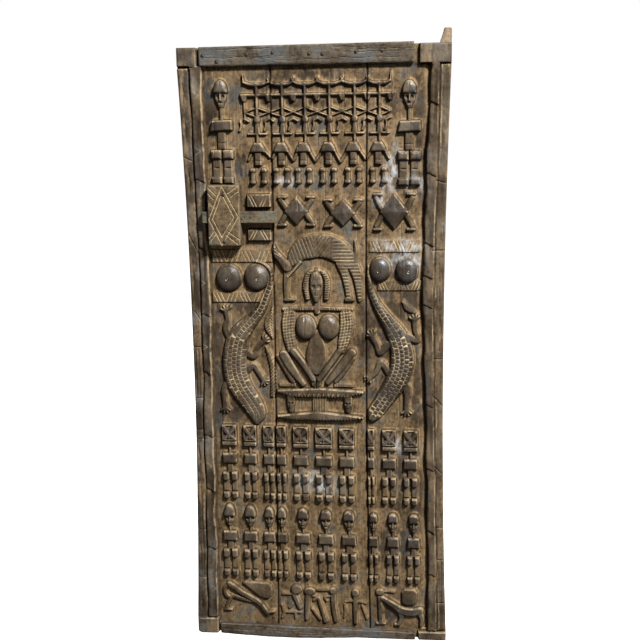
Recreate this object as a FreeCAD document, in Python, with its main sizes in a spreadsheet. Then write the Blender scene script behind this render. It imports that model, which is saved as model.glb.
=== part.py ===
# Carved wooden granary door: three planks side by side, two battens, and a wooden lock
# with a sliding bolt and loose iron tumblers. The door turns on two pintles carved in one
# with its right plank. Millimetres, +Z up, the carved front faces -Y.
# The origin is on the hinge axis, at the shoulder of the lower pintle.

import FreeCAD, Part
import math
import os
import Sketcher

Vector = FreeCAD.Vector

doc = FreeCAD.newDocument("GranaryDoor")
sheet = doc.addObject("Spreadsheet::Sheet", "Sizes")

SIZES = (
    # the three planks
    ("door_height", 1980), ("door_width", 860),
    ("left_seam_bottom", 281), ("left_seam_top", 295), ("left_seam_bow", 3),
    ("right_seam_bottom", 601), ("right_seam_top", 602), ("right_seam_bow", 10),
    ("seam_gap", 2.4), ("edge_bow_left", 19), ("edge_bow_right", 17),
    ("ground_thickness", 27), ("hinge_from_back", 20), ("carving_root", 2),
    # the carved border
    ("border_height", 18), ("band_height", 11),
    ("band_width_left", 37), ("band_bow_left", 14),
    ("ridge_width_left", 39), ("ridge_bow_left", 5),
    ("band_width_right", 33), ("band_bow_right", 16),
    ("ridge_width_right", 28), ("ridge_bow_right", 22),
    ("notch_width", 24), ("notch_rise", 20), ("notch_depth", 9),
    ("corner_width_left", 62), ("corner_width_right", 98), ("corner_height", 61),
    ("foot_width_left", 73), ("foot_width_right", 95),
    ("foot_height_left", 58), ("foot_height_right", 32),
    # the pintles
    ("pintle_radius", 12), ("pintle_length", 45), ("pintle_root_height", 19),
    ("pintle_root_width", 36), ("pintle_root_depth", 34), ("pintle_sink", 12),
    # the battens
    ("rail_thickness", 21), ("rail_bevel", 3),
    ("rail_gap_left", 11), ("rail_gap_right", 17), ("top_rail_height", 64),
    ("top_rail_overhang", 6),
    ("foot_gap_left", 9), ("foot_gap_right", 9),
    ("bottom_rail_height", 40), ("bottom_rail_end_height", 27), ("bottom_rail_belly", 9),
    # the nails and staples
    ("nail_radius", 2.2), ("nail_head_radius", 5.5), ("nail_head_height", 2),
    ("nail_reach", 22), ("nail_tip_cover", 3),
    ("staple_wire_radius", 2.5), ("staple_span", 62), ("staple_leg", 17),
    # the lock
    ("case_from_edge", 93), ("case_bottom", 1361), ("case_width", 103),
    ("case_height", 193), ("case_depth", 55), ("case_bevel", 4),
    ("case_nail_from_top", 29), ("case_nail_from_bottom", 13),
    ("bolt_above_case_bottom", 71), ("bolt_height", 37), ("bolt_thickness", 24),
    ("bolt_over_border", 0.6), ("bolt_stub", 22), ("bolt_length", 242), ("bolt_bevel", 2.5),
    ("bolt_clearance", 0.3), ("bolt_throw", 90),
    ("tumbler_radius", 3.5), ("tumbler_length", 34), ("tumbler_lift", 10),
    ("tumbler_play", 0.1), ("tumbler_tip", 1), ("tumbler_spacing", 25), ("well_headroom", 1),
    ("catch_play", 1), ("keyway_height", 15), ("keyway_depth", 12), ("keyway_floor", 7),
    ("keyway_length", 125),
    # the carving: how far each kind of figure stands out of the ground
    ("limb_relief", 9), ("body_relief", 15), ("head_relief", 13), ("band_relief", 4),
    ("block_relief", 14), ("dome_relief", 23), ("stool_relief", 16),
    # the carved ancestor rows
    ("mask_width", 50), ("mask_height", 70), ("chin_height", 14), ("mask_neck_height", 31),
    ("helmet_width", 36), ("helmet_height", 46), ("face_height", 32),
    ("helmet_neck_height", 22), ("neck_width", 8),
    ("shoulder_width", 50), ("shoulder_height", 34), ("trunk_width", 22),
    ("trunk_height", 34), ("leg_width", 19), ("leg_gap", 10), ("hip_height", 29),
    ("mask_shin_height", 37), ("helmet_shin_height", 47), ("foot_size", 30),
    # the carved upper band
    ("ancestor_width", 76), ("ancestor_height", 330), ("pole_width", 8), ("pole_height", 112),
    ("lattice_bar", 10), ("drop_radius", 15), ("yoke_width", 50),
    ("dancer_height", 130),
)
for row, (name, value) in enumerate(SIZES, start=1):
    sheet.set("A%d" % row, name)
    sheet.set("B%d" % row, str(value))
    sheet.setAlias("B%d" % row, name)
doc.recompute()


def size(name):
    """A driving dimension, read back from the sheet."""
    return float(sheet.get(name))


def worked(expression):
    """The value of an expression in the sheet's names, in millimetres."""
    value = sheet.evalExpression(named(expression))
    return float(getattr(value, "Value", value))


def named(expression):
    """The same expression as another object has to write it."""
    words = expression.replace("(", " ( ").replace(")", " ) ").split()
    return " ".join("Sizes." + word if word[0].isalpha() and word != "abs" else word
                    for word in words).replace("abs (", "abs(")


# Places that several pieces share, as expressions in the sheet's names.
LEFT_OF_HINGE = "0 - ( door_width - pintle_radius )"
DOOR_BOTTOM = "pintle_root_height"
BACK = "hinge_from_back"
GROUND = "hinge_from_back - ground_thickness"

left_of_hinge = worked(LEFT_OF_HINGE)
door_bottom = worked(DOOR_BOTTOM)
back_face = worked(BACK)
ground_face = worked(GROUND)
door_width = size("door_width")
door_height = size("door_height")


def origin_plane(body, role):
    """One of a body's own origin planes."""
    return next(plane for plane in body.Origin.OriginFeatures if plane.Role == role)


def place(thing, x, y, z):
    """Bind a piece's position to the sheet."""
    thing.setExpression(".Placement.Base.x", named(x))
    thing.setExpression(".Placement.Base.y", named(y))
    thing.setExpression(".Placement.Base.z", named(z))


def outline(body, name, corners, bows=None, role="XZ_Plane"):
    """A closed sketch through corners given as expressions. bows gives, for the side that
    follows a corner, how far its middle is pushed along the sketch's first axis."""
    sketch = body.newObject("Sketcher::SketchObject", name)
    sketch.AttachmentSupport = (origin_plane(body, role), "")
    sketch.MapMode = "FlatFace"
    bows = bows or {}
    points = [Vector(worked(x), worked(z), 0) for x, z in corners]
    turned = set()
    for number, start in enumerate(points):
        end = points[(number + 1) % len(points)]
        if number not in bows:
            sketch.addGeometry(Part.LineSegment(start, end))
            continue
        middle = (start + end) * 0.5 + Vector(worked(bows[number]), 0, 0)
        if (middle - start).cross(end - middle).z < 0:
            turned.add(number)
            start, end = end, start
        sketch.addGeometry(Part.Arc(start, middle, end))

    def tip(number, at_start):
        """Which end of a side a corner is: an arc always runs anticlockwise."""
        return 1 if at_start != (number in turned) else 2

    for number in range(len(points)):
        following = (number + 1) % len(points)
        sketch.addConstraint(Sketcher.Constraint(
            "Coincident", number, tip(number, False), following, tip(following, True)))
    for number, (x, z) in enumerate(corners):
        for kind, expression, value in (("DistanceX", x, points[number].x),
                                        ("DistanceY", z, points[number].y)):
            index = sketch.addConstraint(Sketcher.Constraint(
                kind, -1, 1, number, tip(number, True), value))
            sketch.setExpression("Constraints[%d]" % index, named(expression))
    for number, bow in bows.items():
        x0, z0 = corners[number]
        x1, z1 = corners[(number + 1) % len(corners)]
        chord = "( ( %s - ( %s ) ) ^ 2 + ( %s - ( %s ) ) ^ 2 )" % (x1, x0, z1, z0)
        radius = "%s / 8 / abs ( %s ) + abs ( %s ) / 2" % (chord, bow, bow)
        index = sketch.addConstraint(Sketcher.Constraint("Radius", number, worked(radius)))
        sketch.setExpression("Constraints[%d]" % index, named(radius))
    return sketch


def pad(body, sketch, length, midplane=False):
    """Raise a sketch by a length given as an expression."""
    feature = body.newObject("PartDesign::Pad", sketch.Name + "Pad")
    feature.Profile = sketch
    feature.Midplane = midplane
    feature.setExpression("Length", named(length))
    sketch.Visibility = False
    return feature


def slab(name, corners, length, bows=None):
    """A body raised from one outline in the plane of the door."""
    body = doc.addObject("PartDesign::Body", name)
    pad(body, outline(body, name + "Outline", corners, bows), length)
    return body


# Planks: adzed boards with seams and long edges that lean and bow a little. The outer ones
# keep a border above the carved-back ground: a flat band, a higher notched ridge, and a
# block at each corner that the battens lie between.

LEFT_EDGE_BOTTOM = "foot_height_left"
RIGHT_EDGE_BOTTOM = "foot_height_right"
EDGE_TOP = "door_height - corner_height"
BAND = "ground_thickness + band_height"
BORDER = "ground_thickness + border_height"

left_board = slab("LeftBoard", [
    ("0", "0"),
    ("left_seam_bottom - seam_gap / 2", "0"),
    ("left_seam_top - seam_gap / 2", "door_height"),
    ("0", "door_height"),
    ("0", EDGE_TOP),
    ("0", LEFT_EDGE_BOTTOM)],
    "ground_thickness", {1: "left_seam_bow", 4: "edge_bow_left"})
left_ridge_line = "band_width_left + ridge_width_left"
pad(left_board, outline(left_board, "LeftBand", [
    ("0", LEFT_EDGE_BOTTOM), ("band_width_left", LEFT_EDGE_BOTTOM),
    ("band_width_left", EDGE_TOP), ("0", EDGE_TOP)],
    {1: "band_bow_left", 3: "edge_bow_left"}), BAND)
pad(left_board, outline(left_board, "LeftRidge", [
    ("band_width_left", LEFT_EDGE_BOTTOM), (left_ridge_line, LEFT_EDGE_BOTTOM),
    (left_ridge_line, EDGE_TOP), ("band_width_left", EDGE_TOP)],
    {1: "ridge_bow_left", 3: "band_bow_left"}), BORDER)
pad(left_board, outline(left_board, "LeftHeadBlock", [
    ("0", EDGE_TOP), ("corner_width_left", EDGE_TOP),
    ("corner_width_left", "door_height"), ("0", "door_height")]), BORDER)
pad(left_board, outline(left_board, "LeftFootBlock", [
    ("0", "0"), ("foot_width_left", "0"),
    ("foot_width_left", LEFT_EDGE_BOTTOM), ("0", LEFT_EDGE_BOTTOM)]), BORDER)

centre_board = slab("CentreBoard", [
    ("left_seam_bottom + seam_gap / 2", "0"),
    ("right_seam_bottom - seam_gap / 2", "0"),
    ("right_seam_top - seam_gap / 2", "door_height"),
    ("left_seam_top + seam_gap / 2", "door_height")],
    "ground_thickness", {1: "0 - right_seam_bow", 3: "left_seam_bow"})

right_board = slab("RightBoard", [
    ("right_seam_bottom + seam_gap / 2", "0"),
    ("door_width", "0"),
    ("door_width", RIGHT_EDGE_BOTTOM),
    ("door_width", EDGE_TOP),
    ("door_width", "door_height"),
    ("right_seam_top + seam_gap / 2", "door_height")],
    "ground_thickness", {2: "0 - edge_bow_right", 5: "0 - right_seam_bow"})
right_band_line = "door_width - band_width_right"
right_ridge_line = "door_width - band_width_right - ridge_width_right"
pad(right_board, outline(right_board, "RightBand", [
    (right_band_line, RIGHT_EDGE_BOTTOM), ("door_width", RIGHT_EDGE_BOTTOM),
    ("door_width", EDGE_TOP), (right_band_line, EDGE_TOP)],
    {1: "0 - edge_bow_right", 3: "0 - band_bow_right"}), BAND)
pad(right_board, outline(right_board, "RightRidge", [
    (right_ridge_line, RIGHT_EDGE_BOTTOM), (right_band_line, RIGHT_EDGE_BOTTOM),
    (right_band_line, EDGE_TOP), (right_ridge_line, EDGE_TOP)],
    {1: "0 - band_bow_right", 3: "0 - ridge_bow_right"}), BORDER)
pad(right_board, outline(right_board, "RightHeadBlock", [
    ("door_width - corner_width_right", EDGE_TOP), ("door_width", EDGE_TOP),
    ("door_width", "door_height"), ("door_width - corner_width_right", "door_height")]), BORDER)
pad(right_board, outline(right_board, "RightFootBlock", [
    ("door_width - foot_width_right", "0"), ("door_width", "0"),
    ("door_width", RIGHT_EDGE_BOTTOM),
    ("door_width - foot_width_right", RIGHT_EDGE_BOTTOM)]), BORDER)

for board in (left_board, centre_board, right_board):
    place(board, LEFT_OF_HINGE, BACK, DOOR_BOTTOM)


# Pintles: each a shouldered peg left standing at the end of the right plank, flush with
# its long edge, with a round journal that turns in the lintel or the sill.

def pintle(name, sign, end):
    """The tapered root and the round journal beyond one end of the right plank."""
    root = doc.addObject("PartDesign::Body", name + "Root")
    left_foot = "door_width - pintle_root_width"
    left_neck = "door_width - 2 * pintle_radius - ( pintle_root_width - 2 * pintle_radius ) / 2"
    pad(root, outline(root, name + "RootOutline", [
        (left_foot, "%s %s pintle_sink" % (end, "-" if sign == "+" else "+")),
        ("door_width", "%s %s pintle_sink" % (end, "-" if sign == "+" else "+")),
        ("door_width", "%s %s pintle_root_height" % (end, sign)),
        (left_neck, "%s %s pintle_root_height" % (end, sign))]),
        "pintle_root_depth", midplane=True)
    place(root, LEFT_OF_HINGE, "0", DOOR_BOTTOM)
    journal = doc.addObject("Part::Cylinder", name + "Journal")
    journal.setExpression("Radius", named("pintle_radius"))
    journal.setExpression("Height", named("pintle_length + pintle_sink"))
    foot = "- pintle_sink" if sign == "+" else "- pintle_length"
    place(journal, "0", "0", "pintle_root_height + %s %s" % (end, foot))
    return [root, journal]


pintles = pintle("Upper", "+", "door_height") + pintle("Lower", "-", "0")

# Ridge notches: V cuts that open towards the field, at heights chosen by eye.

LEFT_NOTCH_SHARES = (0.083, 0.200, 0.306, 0.412, 0.515, 0.623, 0.690, 0.757, 0.837, 0.925)
RIGHT_NOTCH_SHARES = (0.070, 0.155, 0.237, 0.325, 0.410, 0.505, 0.580, 0.650, 0.745, 0.860)


def bowed(height, bow, start):
    """How far a bowed line is pushed at a height above the door's bottom."""
    span = door_height - size(start) - size("corner_height")
    share = (height - size(start)) / span
    return 4 * size(bow) * share * (1 - share)


def notch(tip_x, mouth_x, height):
    """A wedge cut down from the ridge's crest, deepest at the field side."""
    front = ground_face - size("border_height") - size("carving_root")
    half = size("notch_rise") / 2
    points = [Vector(left_of_hinge + tip_x, front, door_bottom + height),
              Vector(left_of_hinge + mouth_x, front, door_bottom + height - half),
              Vector(left_of_hinge + mouth_x, front, door_bottom + height + half)]
    wedge = Part.Face(Part.makePolygon(points + points[:1]))
    return wedge.extrude(Vector(0, size("notch_depth") + size("carving_root"), 0))


left_notches, right_notches = [], []
for share in LEFT_NOTCH_SHARES:
    inner = worked(left_ridge_line) + bowed(share * door_height, "ridge_bow_left",
                                            "foot_height_left")
    left_notches.append(notch(inner - size("notch_width"), inner + size("carving_root"),
                              share * door_height))
for share in RIGHT_NOTCH_SHARES:
    inner = worked(right_ridge_line) - bowed(share * door_height, "ridge_bow_right",
                                             "foot_height_right")
    right_notches.append(notch(inner + size("notch_width"), inner - size("carving_root"),
                               share * door_height))

# Carving: figures left standing out of the ground. Places are shares of the door's width
# and height, and half-widths are shares of its width.


def closed_solid(loops):
    """A solid bounded by flat faces, each given by its corners."""
    faces = [Part.Face(Part.makePolygon(list(loop) + [loop[0]])) for loop in loops]
    shell = Part.makeShell(faces)
    shell.sewShape()
    solid = Part.Solid(shell)
    if solid.Volume < 0:
        solid.reverse()
    return solid


def at_depth(x, z, out):
    """A point over the door's outline, so far out of the ground."""
    return Vector(left_of_hinge + x, ground_face - out, door_bottom + z)


def strip(stations, relief, crown_share=0.6):
    """A bevelled bar along a centre line of (x, z, half-width) in millimetres."""
    root = -size("carving_root")
    rows = []
    for number, (x, z, half) in enumerate(stations):
        before = stations[max(number - 1, 0)]
        after = stations[min(number + 1, len(stations) - 1)]
        along = Vector(after[0] - before[0], after[1] - before[1], 0).normalize()
        side_x, side_z = -along.y * half, along.x * half
        rows.append((at_depth(x + side_x, z + side_z, root),
                     at_depth(x + side_x * crown_share, z + side_z * crown_share, relief),
                     at_depth(x - side_x * crown_share, z - side_z * crown_share, relief),
                     at_depth(x - side_x, z - side_z, root)))
    loops = [rows[0], rows[-1]]
    for a, b in zip(rows, rows[1:]):
        loops += [(a[0], a[1], b[1]), (a[0], b[1], b[0]),
                  (a[1], a[2], b[2], b[1]),
                  (a[2], a[3], b[3]), (a[2], b[3], b[2]),
                  (a[3], a[0], b[0], b[3])]
    return closed_solid(loops)


def from_shares(stations):
    """Stations in millimetres from shares of the door's width and height."""
    return [(x * door_width, z * door_height, half * door_width) for x, z, half in stations]


def dome(x, z, radius, relief):
    """A round boss: the cap of a ball that sinks into the ground."""
    rise = relief + size("carving_root")
    ball = (radius * radius + rise * rise) / (2 * rise)
    cap = Part.makeSphere(ball, Vector(0, 0, 0), Vector(0, 0, 1),
                          math.degrees(math.asin((ball - rise) / ball)), 90, 360)
    cap.translate(Vector(0, 0, rise - ball))
    cap.rotate(Vector(0, 0, 0), Vector(1, 0, 0), 90)
    cap.translate(at_depth(x, z, -size("carving_root")))
    return cap


def roof(corners, ridge_start, ridge_end, relief):
    """A faceted boss over four corners (left, top, right, bottom) under a level ridge."""
    root = -size("carving_root")
    left, top, right, bottom = [at_depth(x, z, root) for x, z in corners]
    start, end = at_depth(*ridge_start, relief), at_depth(*ridge_end, relief)
    return closed_solid([(left, top, start), (top, end, start), (top, right, end),
                         (right, bottom, end), (bottom, start, end), (bottom, left, start),
                         (left, bottom, right, top)])


carving = []


def carve_strip(stations, relief, crown_share=0.6):
    """Carve a bevelled bar."""
    carving.append(strip(stations, relief, crown_share))


def carve_block(x, low, high, width, relief, crown_share=0.82):
    """Carve an upright block about a centre line."""
    carve_strip([(x, low, width / 2), (x, high, width / 2)], relief, crown_share)


# Crocodiles: one on each side, tail up, with four bent legs.

CROCODILE_SHARES = (
    ("body_relief", (
        (0.274, 0.6596, 0.0047), (0.305, 0.6545, 0.0070), (0.330, 0.6424, 0.0093),
        (0.331, 0.6263, 0.0116), (0.315, 0.6061, 0.0140), (0.291, 0.5808, 0.0174),
        (0.258, 0.5631, 0.0244), (0.220, 0.5455, 0.0337), (0.195, 0.5273, 0.0430),
        (0.186, 0.5066, 0.0465), (0.181, 0.4859, 0.0465), (0.188, 0.4636, 0.0465),
        (0.212, 0.4404, 0.0430), (0.242, 0.4212, 0.0395), (0.265, 0.4020, 0.0326),
        (0.264, 0.3879, 0.0140))),
    ("limb_relief", ((0.165, 0.5303, 0.0163), (0.151, 0.5480, 0.0174),
                     (0.159, 0.5621, 0.0128), (0.156, 0.5778, 0.0186))),
    ("limb_relief", ((0.228, 0.5061, 0.0163), (0.258, 0.5000, 0.0163),
                     (0.272, 0.5141, 0.0116), (0.298, 0.5263, 0.0140))),
    ("limb_relief", ((0.228, 0.4747, 0.0151), (0.256, 0.4838, 0.0140),
                     (0.274, 0.4722, 0.0128), (0.293, 0.4586, 0.0163))),
    ("limb_relief", ((0.147, 0.4530, 0.0105), (0.136, 0.4404, 0.0128),
                     (0.138, 0.4268, 0.0128), (0.141, 0.4101, 0.0209))),
    ("body_relief", (
        (0.700, 0.6515, 0.0035), (0.701, 0.6323, 0.0070), (0.712, 0.6091, 0.0116),
        (0.737, 0.5833, 0.0174), (0.772, 0.5596, 0.0256), (0.802, 0.5394, 0.0349),
        (0.820, 0.5177, 0.0407), (0.826, 0.4975, 0.0442), (0.821, 0.4798, 0.0430),
        (0.805, 0.4606, 0.0419), (0.777, 0.4404, 0.0384), (0.744, 0.4192, 0.0326),
        (0.721, 0.4040, 0.0279), (0.710, 0.3949, 0.0140))),
    ("limb_relief", ((0.772, 0.5212, 0.0151), (0.742, 0.5071, 0.0140),
                     (0.730, 0.5202, 0.0116), (0.712, 0.5374, 0.0174))),
    ("limb_relief", ((0.779, 0.4697, 0.0116), (0.747, 0.4899, 0.0140),
                     (0.727, 0.4747, 0.0140), (0.705, 0.4636, 0.0151))),
    ("limb_relief", ((0.847, 0.5343, 0.0163), (0.882, 0.5283, 0.0128),
                     (0.872, 0.5465, 0.0116), (0.870, 0.5636, 0.0174))),
    ("limb_relief", ((0.840, 0.4505, 0.0186), (0.847, 0.4384, 0.0174),
                     (0.843, 0.4268, 0.0116), (0.843, 0.4071, 0.0186))),
)

# Striped animal: an arched body on three legs, its neck stretched out to the left.

ANIMAL_SHARES = (
    ("limb_relief", (
        (0.407, 0.6545, 0.0116), (0.426, 0.6677, 0.0279), (0.453, 0.6793, 0.0395),
        (0.483, 0.6828, 0.0442), (0.515, 0.6848, 0.0430), (0.552, 0.6828, 0.0442),
        (0.585, 0.6758, 0.0419), (0.613, 0.6657, 0.0349), (0.628, 0.6556, 0.0233))),
    ("limb_relief", ((0.597, 0.6576, 0.0209), (0.612, 0.6364, 0.0151),
                     (0.620, 0.6162, 0.0116), (0.624, 0.5980, 0.0105))),
    ("limb_relief", ((0.616, 0.5960, 0.0081), (0.642, 0.5949, 0.0058))),
    ("limb_relief", ((0.635, 0.6576, 0.0233), (0.653, 0.6404, 0.0198),
                     (0.662, 0.6212, 0.0151), (0.666, 0.5960, 0.0093))),
    ("body_relief", ((0.343, 0.6869, 0.0047), (0.349, 0.6742, 0.0116),
                     (0.370, 0.6626, 0.0140), (0.393, 0.6490, 0.0174))),
    ("limb_relief", ((0.400, 0.6556, 0.0163), (0.391, 0.6374, 0.0116),
                     (0.387, 0.6162, 0.0093), (0.390, 0.5980, 0.0093))),
    ("limb_relief", ((0.385, 0.5960, 0.0070), (0.417, 0.5955, 0.0058))),
    ("limb_relief", ((0.398, 0.6354, 0.0058), (0.444, 0.6586, 0.0070))),
    ("limb_relief", ((0.647, 0.6606, 0.0070), (0.652, 0.6768, 0.0070),
                     (0.649, 0.6929, 0.0035))),
)

# Seated ancestor on a two-disc stool: head, braids, yoke, arms, torso, legs, then the
# seat, the post and two masks that carry it, and the disc on the ground.

SEATED_SHARES = (
    ("body_relief", ((0.501, 0.6444, 0.0070), (0.501, 0.6313, 0.0221),
                     (0.502, 0.6136, 0.0233), (0.502, 0.5929, 0.0093))),
    ("limb_relief", ((0.491, 0.6439, 0.0070), (0.470, 0.6364, 0.0093),
                     (0.462, 0.6187, 0.0105), (0.469, 0.5980, 0.0081))),
    ("limb_relief", ((0.512, 0.6439, 0.0070), (0.534, 0.6379, 0.0093),
                     (0.544, 0.6237, 0.0116), (0.540, 0.5980, 0.0093))),
    ("limb_relief", ((0.503, 0.5949, 0.0105), (0.505, 0.5798, 0.0116))),
    ("limb_relief", ((0.374, 0.5773, 0.0116), (0.502, 0.5783, 0.0116),
                     (0.640, 0.5773, 0.0116))),
    ("limb_relief", ((0.392, 0.5768, 0.0209), (0.390, 0.5581, 0.0233),
                     (0.394, 0.5354, 0.0221), (0.403, 0.5111, 0.0163))),
    ("limb_relief", ((0.620, 0.5768, 0.0209), (0.619, 0.5581, 0.0256),
                     (0.609, 0.5354, 0.0233), (0.594, 0.5111, 0.0140))),
    ("limb_relief", ((0.501, 0.5384, 0.0163), (0.500, 0.5202, 0.0302),
                     (0.498, 0.4975, 0.0384), (0.498, 0.4747, 0.0128))),
    ("body_relief", ((0.409, 0.5101, 0.0128), (0.453, 0.4848, 0.0128),
                     (0.485, 0.4606, 0.0140))),
    ("body_relief", ((0.590, 0.5101, 0.0116), (0.544, 0.4823, 0.0116),
                     (0.512, 0.4606, 0.0140))),
    ("limb_relief", ((0.479, 0.4616, 0.0151), (0.481, 0.4475, 0.0140))),
    ("body_relief", ((0.373, 0.5025, 0.0140), (0.407, 0.4773, 0.0174),
                     (0.447, 0.4505, 0.0128))),
    ("limb_relief", ((0.350, 0.5010, 0.0081), (0.378, 0.4788, 0.0093),
                     (0.407, 0.4576, 0.0093))),
    ("body_relief", ((0.634, 0.5071, 0.0116), (0.587, 0.4798, 0.0151),
                     (0.542, 0.4561, 0.0140))),
    ("limb_relief", ((0.640, 0.4975, 0.0070), (0.606, 0.4747, 0.0081),
                     (0.572, 0.4571, 0.0070))),
    ("stool_relief", ((0.345, 0.4409, 0.0070), (0.401, 0.4384, 0.0151),
                      (0.508, 0.4379, 0.0186), (0.616, 0.4384, 0.0151),
                      (0.679, 0.4399, 0.0070))),
    ("limb_relief", ((0.508, 0.4293, 0.0279), (0.508, 0.4101, 0.0267))),
    ("body_relief", ((0.397, 0.4303, 0.0174), (0.399, 0.4192, 0.0151),
                     (0.401, 0.4061, 0.0093))),
    ("body_relief", ((0.620, 0.4303, 0.0174), (0.619, 0.4192, 0.0151),
                     (0.617, 0.4061, 0.0093))),
    ("stool_relief", ((0.344, 0.3970, 0.0105), (0.401, 0.3980, 0.0163),
                      (0.506, 0.3985, 0.0186), (0.616, 0.3975, 0.0163),
                      (0.679, 0.3955, 0.0093))),
)

# Small emblems beside them: a feather, a twisted rope and a crescent.

EMBLEM_SHARES = (
    ("limb_relief", ((0.334, 0.5788, 0.0040), (0.325, 0.5657, 0.0128),
                     (0.320, 0.5505, 0.0150), (0.332, 0.5323, 0.0050))),
    ("limb_relief", ((0.306, 0.5152, 0.0047), (0.320, 0.4975, 0.0093),
                     (0.326, 0.4798, 0.0100), (0.326, 0.4545, 0.0100),
                     (0.324, 0.4328, 0.0093))),
    ("limb_relief", ((0.830, 0.5909, 0.0058), (0.849, 0.5823, 0.0105),
                     (0.867, 0.5742, 0.0070))),
)

# Lowest scene: a leaping animal with a shield, people at work, and a rider's horse.

LOWEST_SHARES = (
    ("limb_relief", ((0.190, 0.0788, 0.0160), (0.230, 0.0800, 0.0310),
                     (0.280, 0.0810, 0.0310), (0.302, 0.0815, 0.0180))),
    ("body_relief", ((0.131, 0.0924, 0.0110), (0.190, 0.0737, 0.0120),
                     (0.250, 0.0591, 0.0110), (0.283, 0.0404, 0.0100))),
    ("limb_relief", ((0.278, 0.0404, 0.0120), (0.312, 0.0414, 0.0120))),
    ("limb_relief", ((0.144, 0.0697, 0.0090), (0.190, 0.0641, 0.0100),
                     (0.236, 0.0591, 0.0090))),
    ("limb_relief", ((0.130, 0.0919, 0.0080), (0.114, 0.0823, 0.0090),
                     (0.120, 0.0697, 0.0090), (0.137, 0.0652, 0.0090),
                     (0.123, 0.0540, 0.0080), (0.118, 0.0450, 0.0080))),
    ("limb_relief", ((0.112, 0.0434, 0.0080), (0.140, 0.0434, 0.0070))),
    ("limb_relief", ((0.384, 0.0864, 0.0200), (0.428, 0.0864, 0.0220))),
    ("limb_relief", ((0.350, 0.0753, 0.0070), (0.388, 0.0753, 0.0070))),
    ("limb_relief", ((0.389, 0.0803, 0.0100), (0.404, 0.0640, 0.0100),
                     (0.418, 0.0485, 0.0100))),
    ("limb_relief", ((0.358, 0.0414, 0.0070), (0.420, 0.0414, 0.0070))),
    ("limb_relief", ((0.398, 0.0404, 0.0060), (0.398, 0.0313, 0.0060))),
    ("limb_relief", ((0.344, 0.0545, 0.0070), (0.352, 0.0414, 0.0070),
                     (0.344, 0.0308, 0.0070))),
    ("limb_relief", ((0.440, 0.0818, 0.0150), (0.478, 0.0828, 0.0180))),
    ("limb_relief", ((0.478, 0.0849, 0.0080), (0.532, 0.0849, 0.0080))),
    ("limb_relief", ((0.536, 0.0838, 0.0170), (0.566, 0.0838, 0.0190))),
    ("limb_relief", ((0.450, 0.0758, 0.0120), (0.447, 0.0500, 0.0110),
                     (0.444, 0.0288, 0.0080))),
    ("limb_relief", ((0.470, 0.0707, 0.0080), (0.494, 0.0707, 0.0080),
                     (0.510, 0.0540, 0.0120), (0.519, 0.0288, 0.0120))),
    ("limb_relief", ((0.552, 0.0758, 0.0110), (0.553, 0.0540, 0.0120),
                     (0.562, 0.0278, 0.0130))),
    ("limb_relief", ((0.466, 0.0485, 0.0080), (0.496, 0.0298, 0.0090))),
    ("limb_relief", ((0.624, 0.0813, 0.0150), (0.656, 0.0813, 0.0150))),
    ("limb_relief", ((0.641, 0.0737, 0.0080), (0.640, 0.0480, 0.0090),
                     (0.642, 0.0263, 0.0110))),
    ("limb_relief", ((0.598, 0.0641, 0.0060), (0.640, 0.0641, 0.0070),
                     (0.681, 0.0616, 0.0070))),
    ("limb_relief", ((0.592, 0.0600, 0.0070), (0.600, 0.0450, 0.0080),
                     (0.596, 0.0323, 0.0060))),
    ("limb_relief", ((0.668, 0.0540, 0.0070), (0.688, 0.0343, 0.0070))),
    ("limb_relief", ((0.722, 0.0859, 0.0130), (0.754, 0.0828, 0.0150))),
    ("limb_relief", ((0.738, 0.0722, 0.0100), (0.740, 0.0500, 0.0100),
                     (0.742, 0.0283, 0.0110))),
    ("limb_relief", ((0.728, 0.0258, 0.0080), (0.760, 0.0258, 0.0070))),
    ("body_relief", ((0.749, 0.0722, 0.0090), (0.790, 0.0600, 0.0110),
                     (0.826, 0.0500, 0.0150), (0.901, 0.0510, 0.0130))),
    ("limb_relief", ((0.822, 0.0480, 0.0110), (0.816, 0.0250, 0.0090))),
    ("limb_relief", ((0.893, 0.0490, 0.0110), (0.902, 0.0250, 0.0090))),
    ("limb_relief", ((0.828, 0.0758, 0.0150), (0.856, 0.0758, 0.0310),
                     (0.884, 0.0758, 0.0180))),
)

for group in (CROCODILE_SHARES, ANIMAL_SHARES, SEATED_SHARES, EMBLEM_SHARES, LOWEST_SHARES):
    for relief, stations in group:
        carve_strip(from_shares(stations), size(relief))

# Round bosses in pairs: two on each side plank and two on the seated ancestor.

DOME_SHARES = (
    (0.171, 0.6323, 0.049), (0.277, 0.6333, 0.048), (0.743, 0.6460, 0.041),
    (0.843, 0.6444, 0.044), (0.460, 0.5505, 0.041), (0.548, 0.5495, 0.041),
)
for x, z, radius in DOME_SHARES:
    carving.append(dome(x * door_width, z * door_height, radius * door_width,
                        size("dome_relief")))

# Flat fields for incised lines over and under the bosses, and the two blocks that the
# bolt runs between: low and high corner of each.

FIELD_SHARES = (
    ("band_relief", (0.107, 0.6566), (0.336, 0.6788)),
    ("band_relief", (0.104, 0.5909), (0.324, 0.6081)),
    ("band_relief", (0.702, 0.6717), (0.890, 0.6934)),
    ("band_relief", (0.729, 0.6106), (0.888, 0.6268)),
    ("block_relief", (0.247, 0.7475), (0.336, 0.7687)),
    ("block_relief", (0.250, 0.6934), (0.335, 0.7121)),
)
for relief, (left, low), (right, high) in FIELD_SHARES:
    carve_block((left + right) / 2 * door_width, low * door_height, high * door_height,
                (right - left) * door_width, size(relief), crown_share=0.96)

# Turtles: three faceted diamonds with bent legs.

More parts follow.
